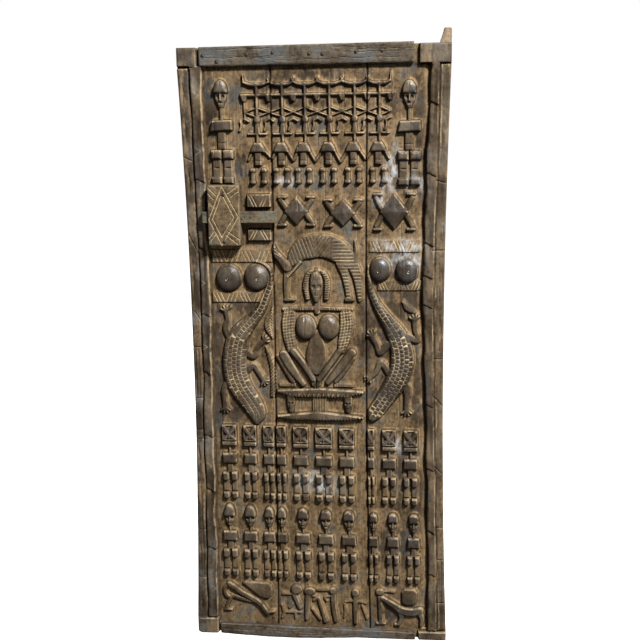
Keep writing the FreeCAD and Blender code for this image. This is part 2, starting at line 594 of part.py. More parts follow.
TURTLE_SHARES = ((0.431, 0.7409, 0.041, 0.0212), (0.606, 0.7374, 0.044, 0.0202),
                 (0.795, 0.7389, 0.050, 0.0278))
TURTLE_RIDGE_SHARE = 0.55
TURTLE_HIP_SHARE = 0.85
TURTLE_KNEE_SHARES = (1.45, 0.35)
TURTLE_FOOT_SHARES = (1.40, 1.15)
TURTLE_LEG_SHARE = 0.15
for x, z, half_width, half_height in TURTLE_SHARES:
    x, z, across, up = (x * door_width, z * door_height,
                        half_width * door_width, half_height * door_height)
    carving.append(roof([(x - across, z), (x, z + up), (x + across, z), (x, z - up)],
                        (x - across * TURTLE_RIDGE_SHARE, z),
                        (x + across * TURTLE_RIDGE_SHARE, z), size("body_relief")))
    leg = across * TURTLE_LEG_SHARE
    for side in (-1, 1):
        for rise in (-1, 1):
            carve_strip([(x + side * across * TURTLE_HIP_SHARE, z, leg),
                         (x + side * across * TURTLE_KNEE_SHARES[0],
                          z + rise * up * TURTLE_KNEE_SHARES[1], leg),
                         (x + side * across * TURTLE_FOOT_SHARES[0],
                          z + rise * up * TURTLE_FOOT_SHARES[1], leg)],
                        size("limb_relief"))

# Two rows of ten standing ancestors: square masks above, helmets below.

MASK_ROW_SHARES = (0.155, 0.236, 0.305, 0.353, 0.434, 0.523, 0.613, 0.706, 0.773, 0.858)
MASK_ROW_FOOT_SHARE = 0.249
HELMET_ROW_SHARES = (0.152, 0.228, 0.305, 0.353, 0.437, 0.527, 0.616, 0.713, 0.788, 0.871)
HELMET_ROW_FOOT_SHARE = 0.102
NARROW_SHARE = 0.74
CROWDED = (2, 3, 7)


def standing_figure(x, foot, shin, narrow):
    """Feet, shins, hips, trunk and shoulders, from the ground up. Returns the neck's foot."""
    stance = (size("leg_width") + size("leg_gap")) / 2 * narrow
    leg = size("leg_width") * narrow
    ankle = foot + size("foot_size")
    knee = ankle + shin
    hip = knee + size("hip_height")
    chest = hip + size("trunk_height")
    throat = chest + size("shoulder_height")
    for side in (-stance, stance):
        carve_block(x + side, foot, ankle, leg, size("head_relief"))
        carve_block(x + side, ankle - size("carving_root"), knee, leg, size("band_relief"))
        carve_block(x + side, knee - size("carving_root"), hip, leg, size("head_relief"))
    carve_block(x, hip - size("carving_root"), chest, size("trunk_width") * narrow,
                size("limb_relief"))
    carve_block(x, chest - size("carving_root"), throat, size("shoulder_width") * narrow,
                size("head_relief"))
    return throat


for number, share in enumerate(MASK_ROW_SHARES):
    narrow = NARROW_SHARE if number in CROWDED else 1
    x = share * door_width
    throat = standing_figure(x, MASK_ROW_FOOT_SHARE * door_height,
                             size("mask_shin_height"), narrow)
    chin = throat + size("mask_neck_height")
    carve_block(x, throat - size("carving_root"), chin + size("carving_root"),
                size("neck_width"), size("limb_relief"))
    carve_block(x, chin, chin + size("chin_height"), size("mask_width") * narrow,
                size("body_relief"))
    carve_block(x, chin + size("chin_height") - size("carving_root"),
                chin + size("mask_height"), size("mask_width") * narrow, size("head_relief"))

for number, share in enumerate(HELMET_ROW_SHARES):
    narrow = NARROW_SHARE if number in CROWDED else 1
    x = share * door_width
    throat = standing_figure(x, HELMET_ROW_FOOT_SHARE * door_height,
                             size("helmet_shin_height"), narrow)
    chin = throat + size("helmet_neck_height")
    brow = chin + size("face_height")
    half = size("helmet_width") / 2
    carve_block(x, throat - size("carving_root"), chin + size("carving_root"),
                size("neck_width"), size("limb_relief"))
    carve_strip([(x, chin, half / 3), (x, brow, half * NARROW_SHARE)], size("limb_relief"))
    top = brow + size("helmet_height")
    middle = (brow + top) / 2
    carve_strip([(x, brow - size("carving_root"), half / 2), (x, middle, half),
                 (x, top, half / 4)], size("body_relief"))

# Two tall ancestors in the upper corners: cap, face, neck, shoulders, trunk and legs, as
# low end, high end and width in shares of their height and width.

ANCESTOR_PLACE_SHARES = ((0.160, 0.7869), (0.852, 0.7869))
ANCESTOR_PART_SHARES = (
    ("head_relief", 0.0, 0.865, 0.995, 0.52), ("limb_relief", 0.0, 0.735, 0.875, 0.34),
    ("limb_relief", 0.0, 0.630, 0.745, 0.15), ("body_relief", 0.0, 0.520, 0.620, 0.95),
    ("limb_relief", 0.0, 0.330, 0.525, 0.36), ("head_relief", -0.24, 0.250, 0.335, 0.36),
    ("head_relief", 0.24, 0.250, 0.335, 0.36), ("limb_relief", -0.20, 0.060, 0.260, 0.22),
    ("limb_relief", 0.20, 0.060, 0.260, 0.22), ("head_relief", -0.22, 0.000, 0.065, 0.34),
    ("head_relief", 0.22, 0.000, 0.065, 0.34),
)
for x_share, foot_share in ANCESTOR_PLACE_SHARES:
    for relief, offset, low, high, width in ANCESTOR_PART_SHARES:
        carve_block(x_share * door_width + offset * size("ancestor_width"),
                    foot_share * door_height + low * size("ancestor_height"),
                    foot_share * door_height + high * size("ancestor_height"),
                    width * size("ancestor_width"), size(relief))

# Lattice between them: six poles, a swagged top bar, a second bar with half-round drops,
# crossed struts, and below each pole a small head over a bent-armed dancer.

POLE_SHARES = (0.292, 0.386, 0.470, 0.559, 0.650, 0.742)
DANCER_SHARES = (0.293, 0.380, 0.462, 0.553, 0.645, 0.737)
LATTICE_TOP_SHARE = 0.9434
LATTICE_BAR_SHARE = 0.9242
LATTICE_FOOT_SHARE = 0.8636
DANCER_FOOT_SHARE = 0.7848
FOOT_BAR_SHARE = 0.36
DANCER_SHOULDER_SHARES = (0.42, 0.80)
DANCER_ELBOW_SHARES = (0.45, 0.58)
DANCER_PART_SHARES = (
    ("head_relief", 0.0, 0.78, 1.00, 1.00), ("limb_relief", 0.0, 0.46, 0.79, 0.44),
    ("head_relief", -0.38, 0.28, 0.40, 0.32), ("head_relief", 0.38, 0.28, 0.40, 0.32),
    ("limb_relief", -0.38, 0.10, 0.30, 0.24), ("limb_relief", 0.38, 0.10, 0.30, 0.24),
    ("head_relief", -0.38, 0.00, 0.11, 0.32), ("head_relief", 0.38, 0.00, 0.11, 0.32),
)
pole_pitch = (POLE_SHARES[-1] - POLE_SHARES[0]) * door_width / (len(POLE_SHARES) - 1)
half_bar = size("lattice_bar") / 2
for share in POLE_SHARES:
    x = share * door_width
    top = LATTICE_TOP_SHARE * door_height
    low = top - size("pole_height")
    carve_block(x, low, top, size("pole_width"), size("limb_relief"))
    carve_strip([(x - pole_pitch / 2, top + half_bar, half_bar / 2), (x, top, half_bar),
                 (x + pole_pitch / 2, top + half_bar, half_bar / 2)], size("limb_relief"))
    bar = LATTICE_BAR_SHARE * door_height
    carve_strip([(x - pole_pitch / 2, bar, half_bar), (x + pole_pitch / 2, bar, half_bar)],
                size("limb_relief"))
    carve_strip([(x + pole_pitch / 2, bar, size("drop_radius")),
                 (x + pole_pitch / 2, bar - size("drop_radius"), size("drop_radius") / 2)],
                size("limb_relief"))
    for side in (-1, 1):
        carve_strip([(x, low + size("drop_radius"), half_bar / 2),
                     (x + side * pole_pitch / 2, low + 2 * size("drop_radius"),
                      half_bar / 2)], size("band_relief"))
    carve_strip([(x, low, half_bar), (x, low - size("drop_radius"), half_bar * 2)],
                size("head_relief"))
    foot = LATTICE_FOOT_SHARE * door_height
    carve_strip([(x - pole_pitch * FOOT_BAR_SHARE, foot, half_bar / 2),
                 (x + pole_pitch * FOOT_BAR_SHARE, foot, half_bar / 2)], size("band_relief"))
    carve_block(x, foot, low - size("drop_radius"), size("lattice_bar"), size("limb_relief"))

for share in DANCER_SHARES:
    x, foot = share * door_width, DANCER_FOOT_SHARE * door_height
    for relief, offset, low, high, width in DANCER_PART_SHARES:
        carve_block(x + offset * size("yoke_width"), foot + low * size("dancer_height"),
                    foot + high * size("dancer_height"), width * size("yoke_width"),
                    size(relief))
    for side in (-1, 1):
        carve_strip([(x + side * size("yoke_width") * DANCER_SHOULDER_SHARES[0],
                      foot + size("dancer_height") * DANCER_SHOULDER_SHARES[1], half_bar / 2),
                     (x + side * pole_pitch * DANCER_ELBOW_SHARES[0],
                      foot + size("dancer_height") * DANCER_ELBOW_SHARES[1], half_bar / 2)],
                    size("limb_relief"))


seam_wander = abs(size("left_seam_top") - size("left_seam_bottom")) \
    + size("left_seam_bow") + size("right_seam_bow")


def carved_plank(label, board, extras, notches):
    """Fuse a board with the carving that lies on it, a seam cutting what crosses it."""
    back = max(board.Shape.Faces, key=lambda face: face.CenterOfMass.y)
    column = back.extrude(Vector(0, -size("ground_thickness") - 2 * size("dome_relief"), 0))
    low, high = column.BoundBox.XMin, column.BoundBox.XMax
    mine = []
    for solid in carving:
        reach = solid.BoundBox
        if reach.XMin > low + seam_wander and reach.XMax < high - seam_wander:
            mine.append(solid)
        elif reach.XMin < high and reach.XMax > low:
            mine += solid.common(column).Solids
    relief = doc.addObject("Part::Feature", label + "_carving")
    relief.Shape = mine[0].fuse(mine[1:])
    whole = doc.addObject("Part::MultiFuse", label + "_whole")
    whole.Shapes = [board] + extras + [relief]
    whole.Refine = False
    if notches:
        tools = doc.addObject("Part::Feature", label + "_notches")
        tools.Shape = Part.makeCompound(notches)
        notched = doc.addObject("Part::Cut", label + "_notched")
        notched.Base, notched.Tool = whole, tools
        notched.Refine = False
        whole = notched
    whole.Label = label
    return whole


doc.recompute()
pieces = [carved_plank("plank_left", left_board, [], left_notches),
          carved_plank("plank_centre", centre_board, [], []),
          carved_plank("plank_right", right_board, pintles, right_notches)]


# Battens: a strip nailed across the head of the door and another across its foot, each
# lying on the carved-back ground between two corner blocks.

def lay(label, corners, length, back, bevel):
    """A bevelled piece of one outline whose back lies at a depth given as an expression."""
    body = slab(label, corners, length)
    doc.recompute()
    raised = body.Tip
    front = -worked(length)
    edges = ["Edge%d" % number for number, edge in enumerate(raised.Shape.Edges, start=1)
             if all(abs(corner.Y - front) < size("carving_root") for corner in edge.Vertexes)]
    chamfer = body.newObject("PartDesign::Chamfer", label + "_bevel")
    chamfer.Base = (raised, edges)
    chamfer.setExpression("Size", named(bevel))
    raised.Visibility = False
    place(body, LEFT_OF_HINGE, back, DOOR_BOTTOM)
    body.Label = label
    return body


top_left = "corner_width_left + rail_gap_left"
top_right = "door_width - corner_width_right - rail_gap_right"
top_rail = lay("top_rail", [
    (top_left, "door_height + top_rail_overhang - top_rail_height"),
    (top_right, "door_height + top_rail_overhang - top_rail_height"),
    (top_right, "door_height + top_rail_overhang"),
    (top_left, "door_height")],
    "rail_thickness", GROUND, "rail_bevel")

bottom_left = "foot_width_left + foot_gap_left"
bottom_right = "door_width - foot_width_right - foot_gap_right"
bottom_middle = "( %s + %s ) / 2" % (bottom_left, bottom_right)
bottom_rail = lay("bottom_rail", [
    (bottom_left, "0"),
    ("( %s + %s ) / 2" % (bottom_left, bottom_middle), "0 - bottom_rail_belly"),
    (bottom_middle, "0 - bottom_rail_belly / 2"),
    (bottom_right, "0"),
    (bottom_right, "bottom_rail_end_height"),
    (bottom_left, "bottom_rail_height")],
    "rail_thickness", GROUND, "rail_bevel")
pieces += [top_rail, bottom_rail]


# Nails: forged iron, round in the shank, with a low domed head. The top batten's are
# driven from the front and the bottom one's from the back.

def nail(x, z, head_face, length, inward):
    """A nail whose head lies on a face. inward is +1 when it is driven towards +Y."""
    shank = Part.makeCylinder(size("nail_radius"), length, Vector(0, 0, 0),
                              Vector(0, inward, 0))
    head = Part.makeCone(size("nail_head_radius"), size("nail_radius"),
                         size("nail_head_height"), Vector(0, 0, 0), Vector(0, -inward, 0))
    whole = shank.fuse(head).removeSplitter()
    whole.translate(Vector(left_of_hinge + x, head_face, door_bottom + z))
    return whole


def group(label, solids):
    """One node that holds a set of like solids."""
    piece = doc.addObject("Part::Feature", label)
    piece.Shape = Part.makeCompound(solids)
    piece.Label = label
    return piece


TOP_NAIL_SHARES = ((0.100, 0.50), (0.151, 0.20), (0.262, 0.52), (0.357, 0.58),
                   (0.490, 0.50), (0.538, 0.48), (0.659, 0.55), (0.752, 0.58))
BOTTOM_NAIL_SHARES = ((0.140, 0.35), (0.270, 0.25), (0.400, 0.30), (0.600, 0.30),
                      (0.740, 0.30), (0.850, 0.35))
rail_front = ground_face - size("rail_thickness")
top_rail_foot = door_height + size("top_rail_overhang") - size("top_rail_height")
pieces.append(group("top_rail_nails", [
    nail(x * door_width, top_rail_foot + z * size("top_rail_height"), rail_front,
         size("rail_thickness") + size("nail_reach"), 1) for x, z in TOP_NAIL_SHARES]))
pieces.append(group("bottom_rail_nails", [
    nail(x * door_width, z * size("bottom_rail_height"), back_face,
         size("ground_thickness") + size("rail_thickness") - size("nail_tip_cover"), -1)
    for x, z in BOTTOM_NAIL_SHARES]))

# Lock: a square wooden case nailed over the left plank, with a channel for the bolt and
# three wells in which the iron tumblers hang loose.

case_right = "case_from_edge + case_width"
bolt_low = "case_bottom + bolt_above_case_bottom"
bolt_back = "%s - border_height - bolt_over_border" % GROUND
case_block = lay("CaseBlock", [
    ("case_from_edge", "case_bottom"), (case_right, "case_bottom"),
    (case_right, "case_bottom + case_height"), ("case_from_edge", "case_bottom + case_height")],
    "case_depth", GROUND, "case_bevel")
channel = doc.addObject("Part::Box", "BoltChannel")
channel.setExpression("Length", named("case_width + 2 * bolt_bevel"))
channel.setExpression("Width", named("bolt_thickness + 2 * bolt_clearance"))
channel.setExpression("Height", named("bolt_height + 2 * bolt_clearance"))
place(channel, LEFT_OF_HINGE + " + case_from_edge - bolt_bevel",
      bolt_back + " - bolt_thickness - bolt_clearance",
      DOOR_BOTTOM + " + " + bolt_low + " - bolt_clearance")

TUMBLERS = (("left", "- tumbler_spacing"), ("middle", ""), ("right", "+ tumbler_spacing"))
case_middle = "%s + case_from_edge + case_width / 2" % LEFT_OF_HINGE
tumbler_axis = "%s - bolt_thickness / 2" % bolt_back
bolt_top = "%s + %s + bolt_height" % (DOOR_BOTTOM, bolt_low)
hollows, tumblers, catches = [channel], [], []
for side, offset in TUMBLERS:
    x = "%s %s" % (case_middle, offset)
    well = doc.addObject("Part::Cylinder", "Well" + side.title())
    well.setExpression("Radius", named("tumbler_radius + tumbler_play"))
    well.setExpression("Height", named("tumbler_length + tumbler_lift + well_headroom"))
    place(well, x, tumbler_axis, bolt_top)
    hollows.append(well)
    pin = doc.addObject("Part::Cylinder", "Pin" + side.title())
    pin.setExpression("Radius", named("tumbler_radius"))
    pin.setExpression("Height", named("tumbler_length"))
    doc.recompute()
    tip = doc.addObject("Part::Chamfer", "Tumbler" + side.title())
    tip.Base = pin
    tip.Edges = [(1, size("tumbler_tip"), size("tumbler_tip")),
                 (3, size("tumbler_tip"), size("tumbler_tip"))]
    tip.Label = "tumbler_pin_" + side
    place(tip, x, tumbler_axis, bolt_top)
    tumblers.append(tip)
    catch = doc.addObject("Part::Cylinder", "Catch" + side.title())
    catch.setExpression("Radius", named("tumbler_radius + catch_play"))
    catch.setExpression("Height", named("bolt_height"))
    place(catch, x + " + bolt_throw", tumbler_axis,
          "%s - bolt_height + keyway_floor + keyway_height / 2" % bolt_top)
    catches.append(catch)

hollow = doc.addObject("Part::MultiFuse", "CaseHollow")
hollow.Shapes = hollows
lock_case = doc.addObject("Part::Cut", "LockCase")
lock_case.Base, lock_case.Tool = case_block, hollow
lock_case.Label = "lock_case"

# Bolt: a square bar that slides through the case. The key goes up its keyway from the
# right end and lifts the tumblers out of the three catches.

bolt_left = "case_from_edge - bolt_stub"
bolt_bar = lay("BoltBar", [
    (bolt_left, bolt_low), (bolt_left + " + bolt_length", bolt_low),
    (bolt_left + " + bolt_length", bolt_low + " + bolt_height"),
    (bolt_left, bolt_low + " + bolt_height")],
    "bolt_thickness", bolt_back, "bolt_bevel")
keyway = doc.addObject("Part::Box", "Keyway")
keyway.setExpression("Length", named("keyway_length + bolt_bevel"))
keyway.setExpression("Width", named("keyway_depth"))
keyway.setExpression("Height", named("keyway_height"))
place(keyway, "%s + %s + bolt_length - keyway_length" % (LEFT_OF_HINGE, bolt_left),
      tumbler_axis + " - keyway_depth / 2",
      "%s + %s + keyway_floor" % (DOOR_BOTTOM, bolt_low))
bolt_hollow = doc.addObject("Part::MultiFuse", "BoltHollow")
bolt_hollow.Shapes = [keyway] + catches
lock_bolt = doc.addObject("Part::Cut", "LockBolt")
lock_bolt.Base, lock_bolt.Tool = bolt_bar, bolt_hollow
lock_bolt.Label = "lock_bolt"
pieces += [lock_case, lock_bolt] + tumblers

case_front = ground_face - size("case_depth")
case_centre = size("case_from_edge") + size("case_width") / 2
case_foot = size("case_bottom")
pieces.append(group("lock_case_nails", [
    nail(case_centre, height, case_front, size("case_depth") + size("nail_reach"), 1)
    for height in (case_foot + size("case_height") - size("case_nail_from_top"),
                   case_foot + size("case_nail_from_bottom"))]))


# Staples: iron wire bent square and driven into the back across each seam, to hold the
# planks together between the battens.

def staple(x, z):
    """One staple across a seam: a bar that lies on the back and two legs driven in."""
    wire, half = size("staple_wire_radius"), size("staple_span") / 2
    depth = back_face + wire
    whole = Part.makeCylinder(wire, 2 * half, Vector(-half, 0, 0), Vector(1, 0, 0))
    for side in (-half, half):
        leg = Part.makeCylinder(wire, size("staple_leg") + wire, Vector(side, 0, 0),
                                Vector(0, -1, 0))
        whole = whole.fuse([leg, Part.makeSphere(wire, Vector(side, 0, 0))])
    whole.translate(Vector(left_of_hinge + x, depth, door_bottom + z))
    return whole


STAPLE_SHARES = (0.12, 0.37, 0.63, 0.86)


def seam(share, foot, head, bow):
    """Where a bowed seam runs at a share of the door's height."""
    return size(foot) + (size(head) - size(foot)) * share + 4 * bow * share * (1 - share)


pieces.append(group("seam_staples_left", [
    staple(seam(share, "left_seam_bottom", "left_seam_top", size("left_seam_bow")),
           share * door_height) for share in STAPLE_SHARES]))
pieces.append(group("seam_staples_right", [
    staple(seam(share, "right_seam_bottom", "right_seam_top", -size("right_seam_bow")),
           share * door_height) for share in STAPLE_SHARES]))

doc.recompute()
for thing in doc.Objects:
    if "Invalid" in thing.State or "Error" in thing.State:
        raise RuntimeError("%s could not be made: %s" % (thing.Label, thing.State))
os.makedirs("parts", exist_ok=True)
for piece in pieces:
    if piece.Shape.isNull() or not piece.Shape.isValid():
        raise RuntimeError("%s has no valid shape" % piece.Label)
    piece.Shape.exportStep("parts/%s.step" % piece.Label)
    box = piece.Shape.BoundBox
    print("%-20s %3d solids %11.0f mm3  x %7.1f %7.1f  y %6.1f %6.1f  z %7.1f %7.1f" % (
        piece.Label, len(piece.Shape.Solids), piece.Shape.Volume,
        box.XMin, box.XMax, box.YMin, box.YMax, box.ZMin, box.ZMax))
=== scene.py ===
import math

import bmesh
import bpy
import numpy as np
from mathutils import Matrix, Vector


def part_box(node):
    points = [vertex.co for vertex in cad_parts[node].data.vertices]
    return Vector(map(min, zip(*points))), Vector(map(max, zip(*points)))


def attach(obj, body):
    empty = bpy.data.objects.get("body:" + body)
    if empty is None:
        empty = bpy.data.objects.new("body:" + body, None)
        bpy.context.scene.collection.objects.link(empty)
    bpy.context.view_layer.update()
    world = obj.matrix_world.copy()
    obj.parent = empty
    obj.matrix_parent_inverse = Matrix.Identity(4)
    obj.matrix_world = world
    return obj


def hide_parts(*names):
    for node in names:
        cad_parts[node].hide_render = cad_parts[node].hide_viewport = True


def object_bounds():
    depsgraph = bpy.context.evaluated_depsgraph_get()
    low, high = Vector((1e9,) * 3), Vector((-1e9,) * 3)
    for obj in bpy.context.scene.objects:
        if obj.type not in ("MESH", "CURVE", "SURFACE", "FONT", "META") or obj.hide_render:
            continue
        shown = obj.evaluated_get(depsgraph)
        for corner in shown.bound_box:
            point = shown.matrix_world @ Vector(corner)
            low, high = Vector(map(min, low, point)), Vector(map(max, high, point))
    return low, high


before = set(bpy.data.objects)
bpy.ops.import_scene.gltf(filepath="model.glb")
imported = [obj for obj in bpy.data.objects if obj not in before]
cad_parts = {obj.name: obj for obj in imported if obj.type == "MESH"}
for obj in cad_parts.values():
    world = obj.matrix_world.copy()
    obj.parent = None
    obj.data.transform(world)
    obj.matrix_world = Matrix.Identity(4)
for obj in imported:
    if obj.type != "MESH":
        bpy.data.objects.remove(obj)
cad_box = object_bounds()

# Door: three hardwood planks, hewn with an adze and carved in low relief while flat.
# Everything on the front is set out in millimetres from the left edge and the foot, on a
# field of heights above the cut-back ground, with a field of fresh cuts and one of soot and
# painted shade.
DOOR_WIDTH = 860.0
DOOR_HEIGHT = 1980.0
GRIT = 1.2
columns = np.arange(0.0, DOOR_WIDTH + 2 * GRIT, GRIT)
rows = np.arange(0.0, DOOR_HEIGHT + 2 * GRIT, GRIT)
X, Z = np.meshgrid(columns, rows)
relief = np.zeros_like(X)
scored = np.zeros_like(X)
dark = np.zeros_like(X)

# Crocodiles: one up each side of the door, tail to the top and snout to the foot. The back
# is cut in staggered square scales, and four bent legs end in spread claws.
CROCODILE_LEFT = [
    (236, 1306, 4), (262, 1296, 6), (284, 1272, 8), (285, 1240, 10), (271, 1200, 12),
    (250, 1150, 15), (222, 1115, 21), (189, 1080, 29), (168, 1044, 37), (160, 1003, 40),
    (156, 962, 40), (162, 918, 40), (182, 872, 37), (208, 834, 34), (228, 796, 28),
    (227, 768, 12)]
CROCODILE_RIGHT = [
    (601, 1290, 3), (601, 1252, 6), (611, 1206, 10), (634, 1155, 15), (664, 1108, 22),
    (690, 1068, 30), (705, 1025, 35), (710, 985, 38), (706, 950, 37), (692, 912, 36),
    (668, 872, 33), (640, 830, 28), (620, 800, 24), (611, 782, 12)]
LEGS_LEFT = [
    [(146, 1045, 12), (131, 1085, 12), (138, 1113, 9), (134, 1140, 10)],
    [(196, 1002, 12), (222, 990, 11), (234, 1018, 8), (256, 1042, 9)],
    [(196, 940, 12), (220, 958, 10), (236, 935, 9), (252, 908, 9)],
    [(128, 897, 9), (117, 872, 10), (119, 845, 9), (121, 815, 10)]]
LEGS_RIGHT = [
    [(664, 1032, 12), (638, 1004, 10), (628, 1030, 9), (612, 1060, 10)],
    [(670, 930, 10), (642, 970, 10), (625, 940, 9), (604, 920, 9)],
    [(728, 1058, 12), (760, 1046, 10), (752, 1082, 9), (750, 1113, 10)],
    [(722, 892, 14), (728, 868, 13), (725, 845, 9), (725, 812, 10)]]
SCALE_LONG, SCALE_WIDE = 13.5, 15.0
CLAW_TURNS, CLAW_REACH = (-0.95, -0.32, 0.32, 0.95), 1.9
SPARE, CURVE_STEPS = 3.0, 5


def near(low_x, high_x, low_z, high_z):
    """The part of the field inside a rectangle."""
    return (slice(max(int(low_z / GRIT), 0), int(high_z / GRIT) + 2),
            slice(max(int(low_x / GRIT), 0), int(high_x / GRIT) + 2))


def bar(stations):
    """A tapering bar through (x, z, half-width): how far inside it each sample lies, how
    far along it, and how far across."""
    points = np.array(stations, float)
    reach = points[:, 2].max() + SPARE
    window = near(points[:, 0].min() - reach, points[:, 0].max() + reach,
                  points[:, 1].min() - reach, points[:, 1].max() + reach)
    x, z = X[window], Z[window]
    inside = np.full(x.shape, -99.0)
    along, across = np.zeros(x.shape), np.zeros(x.shape)
    run = 0.0
    for (x0, z0, w0), (x1, z1, w1) in zip(points, points[1:]):
        length = math.hypot(x1 - x0, z1 - z0)
        dx, dz = (x1 - x0) / length, (z1 - z0) / length
        step = np.clip((x - x0) * dx + (z - z0) * dz, 0, length)
        gap = np.hypot(x - x0 - step * dx, z - z0 - step * dz)
        here = w0 + (w1 - w0) * step / length - gap
        better = here > inside
        inside = np.where(better, here, inside)
        along = np.where(better, run + step, along)
        across = np.where(better, (x - x0) * dz - (z - z0) * dx, across)
        run += length
    return window, inside, along, across


def flowing(stations):
    """More stations on a smooth curve through the given ones."""
    points = np.array(stations, float)
    padded = np.vstack([2 * points[0] - points[1], points, 2 * points[-1] - points[-2]])
    curve = []
    for a, b, c, d in zip(padded, padded[1:], padded[2:], padded[3:]):
        for step in range(CURVE_STEPS):
            t = step / CURVE_STEPS
            curve.append(0.5 * (2 * b + (c - a) * t + (2 * a - 5 * b + 4 * c - d) * t ** 2
                                + (3 * b - a - 3 * c + d) * t ** 3))
    curve.append(points[-1])
    return [tuple(point) for point in curve]


CUT_WALL, WALL_SHARE = 2.2, 0.5


def stand(form, height, edge, wall_share=WALL_SHARE):
    """Leave a form standing: a cut wall, then an edge rounded over so many millimetres."""
    window, inside = form[:2]
    wall = np.clip(inside / CUT_WALL + 0.5, 0, 1)
    turn = np.clip(inside / edge, 0, 1)
    crown = np.sqrt(turn * (2 - turn))
    grown = height * (wall_share * wall + (1 - wall_share) * crown)
    proud = (wall > 0) & (grown > relief[window])
    scored[window] = np.where(proud, 0, scored[window])
    relief[window] = np.where(proud, grown, relief[window])


def limb(stations, height, edge, wall_share=WALL_SHARE):
    """Leave a smoothly curved bar standing, and return its form."""
    form = bar(flowing(stations))
    stand(form, height, edge, wall_share=wall_share)
    return form


def shade(form, share):
    """Blacken a form by a share."""
    window, inside = form[:2]
    dark[window] = np.maximum(dark[window], share * np.clip(inside / 2, 0, 1))


def stripe(form, coordinate, pitch, width=3.6, depth=2.6, margin=2.0, where=None):
    """Repeated V cuts over a form, a pitch apart along a coordinate."""
    window, inside = form[:2]
    phase = np.mod(coordinate / pitch, 1)
    gap = np.minimum(phase, 1 - phase) * pitch
    share = np.clip(1 - gap / (width / 2), 0, 1) * np.clip((inside - margin) / 2, 0, 1)
    share = share if where is None else share * where
    relief[window] -= depth * share
    scored[window] = np.maximum(scored[window], share)


def leg(stations):
    """A bent leg whose foot spreads into four claws."""
    (x0, z0, _), (x1, z1, wide) = stations[-2:]
    shade(limb(stations, 9, 8, wall_share=0.4), 0.4)
    way = math.atan2(z1 - z0, x1 - x0)
    reach = CLAW_REACH * wide
    for turn in CLAW_TURNS:
        tip = (x1 + reach * math.cos(way + turn), z1 + reach * math.sin(way + turn))
        stand(bar([(x1, z1, 5), (*tip, 3.4)]), 10, 4)


for body, legs in ((CROCODILE_LEFT, LEGS_LEFT), (CROCODILE_RIGHT, LEGS_RIGHT)):
    for stations in legs:
        leg(stations)
    form = limb(body, 16, 22, wall_share=0.35)
    along, across = form[2:]
    rank = np.floor(across / SCALE_WIDE + 0.5)
    shade(form, 0.2 if body is CROCODILE_LEFT else 0.65)
    stripe(form, across + SCALE_WIDE / 2, SCALE_WIDE, width=2.6, margin=1, depth=2.8)
    stripe(form, along + (rank % 2) * SCALE_LONG / 2, SCALE_LONG, width=2.4, margin=1, depth=2.8)

# Striped animal: an arched body over the seated ancestor, its neck reaching down and out
# to the left. It is hatched one way on the shoulder, the other on the back, level behind.
ANIMAL = [(350, 1296, 10), (366, 1322, 24), (390, 1345, 34), (415, 1352, 38),
          (443, 1356, 37), (475, 1352, 38), (503, 1338, 36), (527, 1318, 30),
          (540, 1298, 20)]
ANIMAL_LIMBS = [
    [(513, 1302, 18), (526, 1260, 13), (533, 1220, 10), (537, 1184, 9)],
    [(546, 1302, 20), (562, 1268, 17), (569, 1230, 13), (573, 1180, 8)],
    [(344, 1298, 14), (336, 1262, 10), (333, 1220, 8), (335, 1184, 8)],
    [(556, 1308, 6), (561, 1340, 6), (558, 1372, 3)]]
ANIMAL_FEET = [[(530, 1180, 7), (552, 1178, 5)], [(331, 1180, 6), (359, 1179, 5)]]
ANIMAL_NECK = [(295, 1360, 4), (300, 1335, 10), (318, 1312, 12), (338, 1285, 15)]


def oval(x, z, half_width, half_height):
    """An oval."""
    window = near(x - half_width - 2, x + half_width + 2, z - half_height - 2,
                  z + half_height + 2)
    across, up = X[window] - x, Z[window] - z
    ring = np.hypot(across / half_width, up / half_height)
    return window, (1 - ring) * min(half_width, half_height), across, up


def press(form, depth, edge):
    """Sink a form below what is there."""
    window, inside = form[:2]
    turn = np.clip(inside / edge, 0, 1)
    relief[window] -= depth * turn * turn * (3 - 2 * turn)


def slanting(form, degrees):
    """A coordinate over a form that grows at an angle to the door's width."""
    turn = math.radians(degrees)
    return X[form[0]] * math.cos(turn) + Z[form[0]] * math.sin(turn)


for stations in ANIMAL_LIMBS:
    form = limb(stations, 9, 8)
    if stations[0][0] > 500 and len(stations) == 4:
        stripe(form, Z[form[0]], 11, depth=1.8)
for stations in ANIMAL_FEET:
    stand(bar(stations), 9, 4)
form = limb(ANIMAL, 10, 12)
place_x = X[form[0]]
stripe(form, slanting(form, 20), 11, where=(place_x < 424) * 1.0)
stripe(form, slanting(form, 142), 10, where=((place_x > 428) & (place_x < 482)) * 1.0)
stripe(form, Z[form[0]], 11, where=(place_x > 486) * 1.0)
form = limb(ANIMAL_NECK, 14, 8)
stripe(form, slanting(form, 60), 9, where=(Z[form[0]] > 1318) * 1.0)
press(oval(300, 1346, 3, 3), 2, 2)
strap = bar([(342, 1258, 5), (364, 1282, 5), (382, 1304, 6)])
stand(strap, 10, 4)
stripe(strap, strap[2], 6, depth=1.4, margin=0.5)

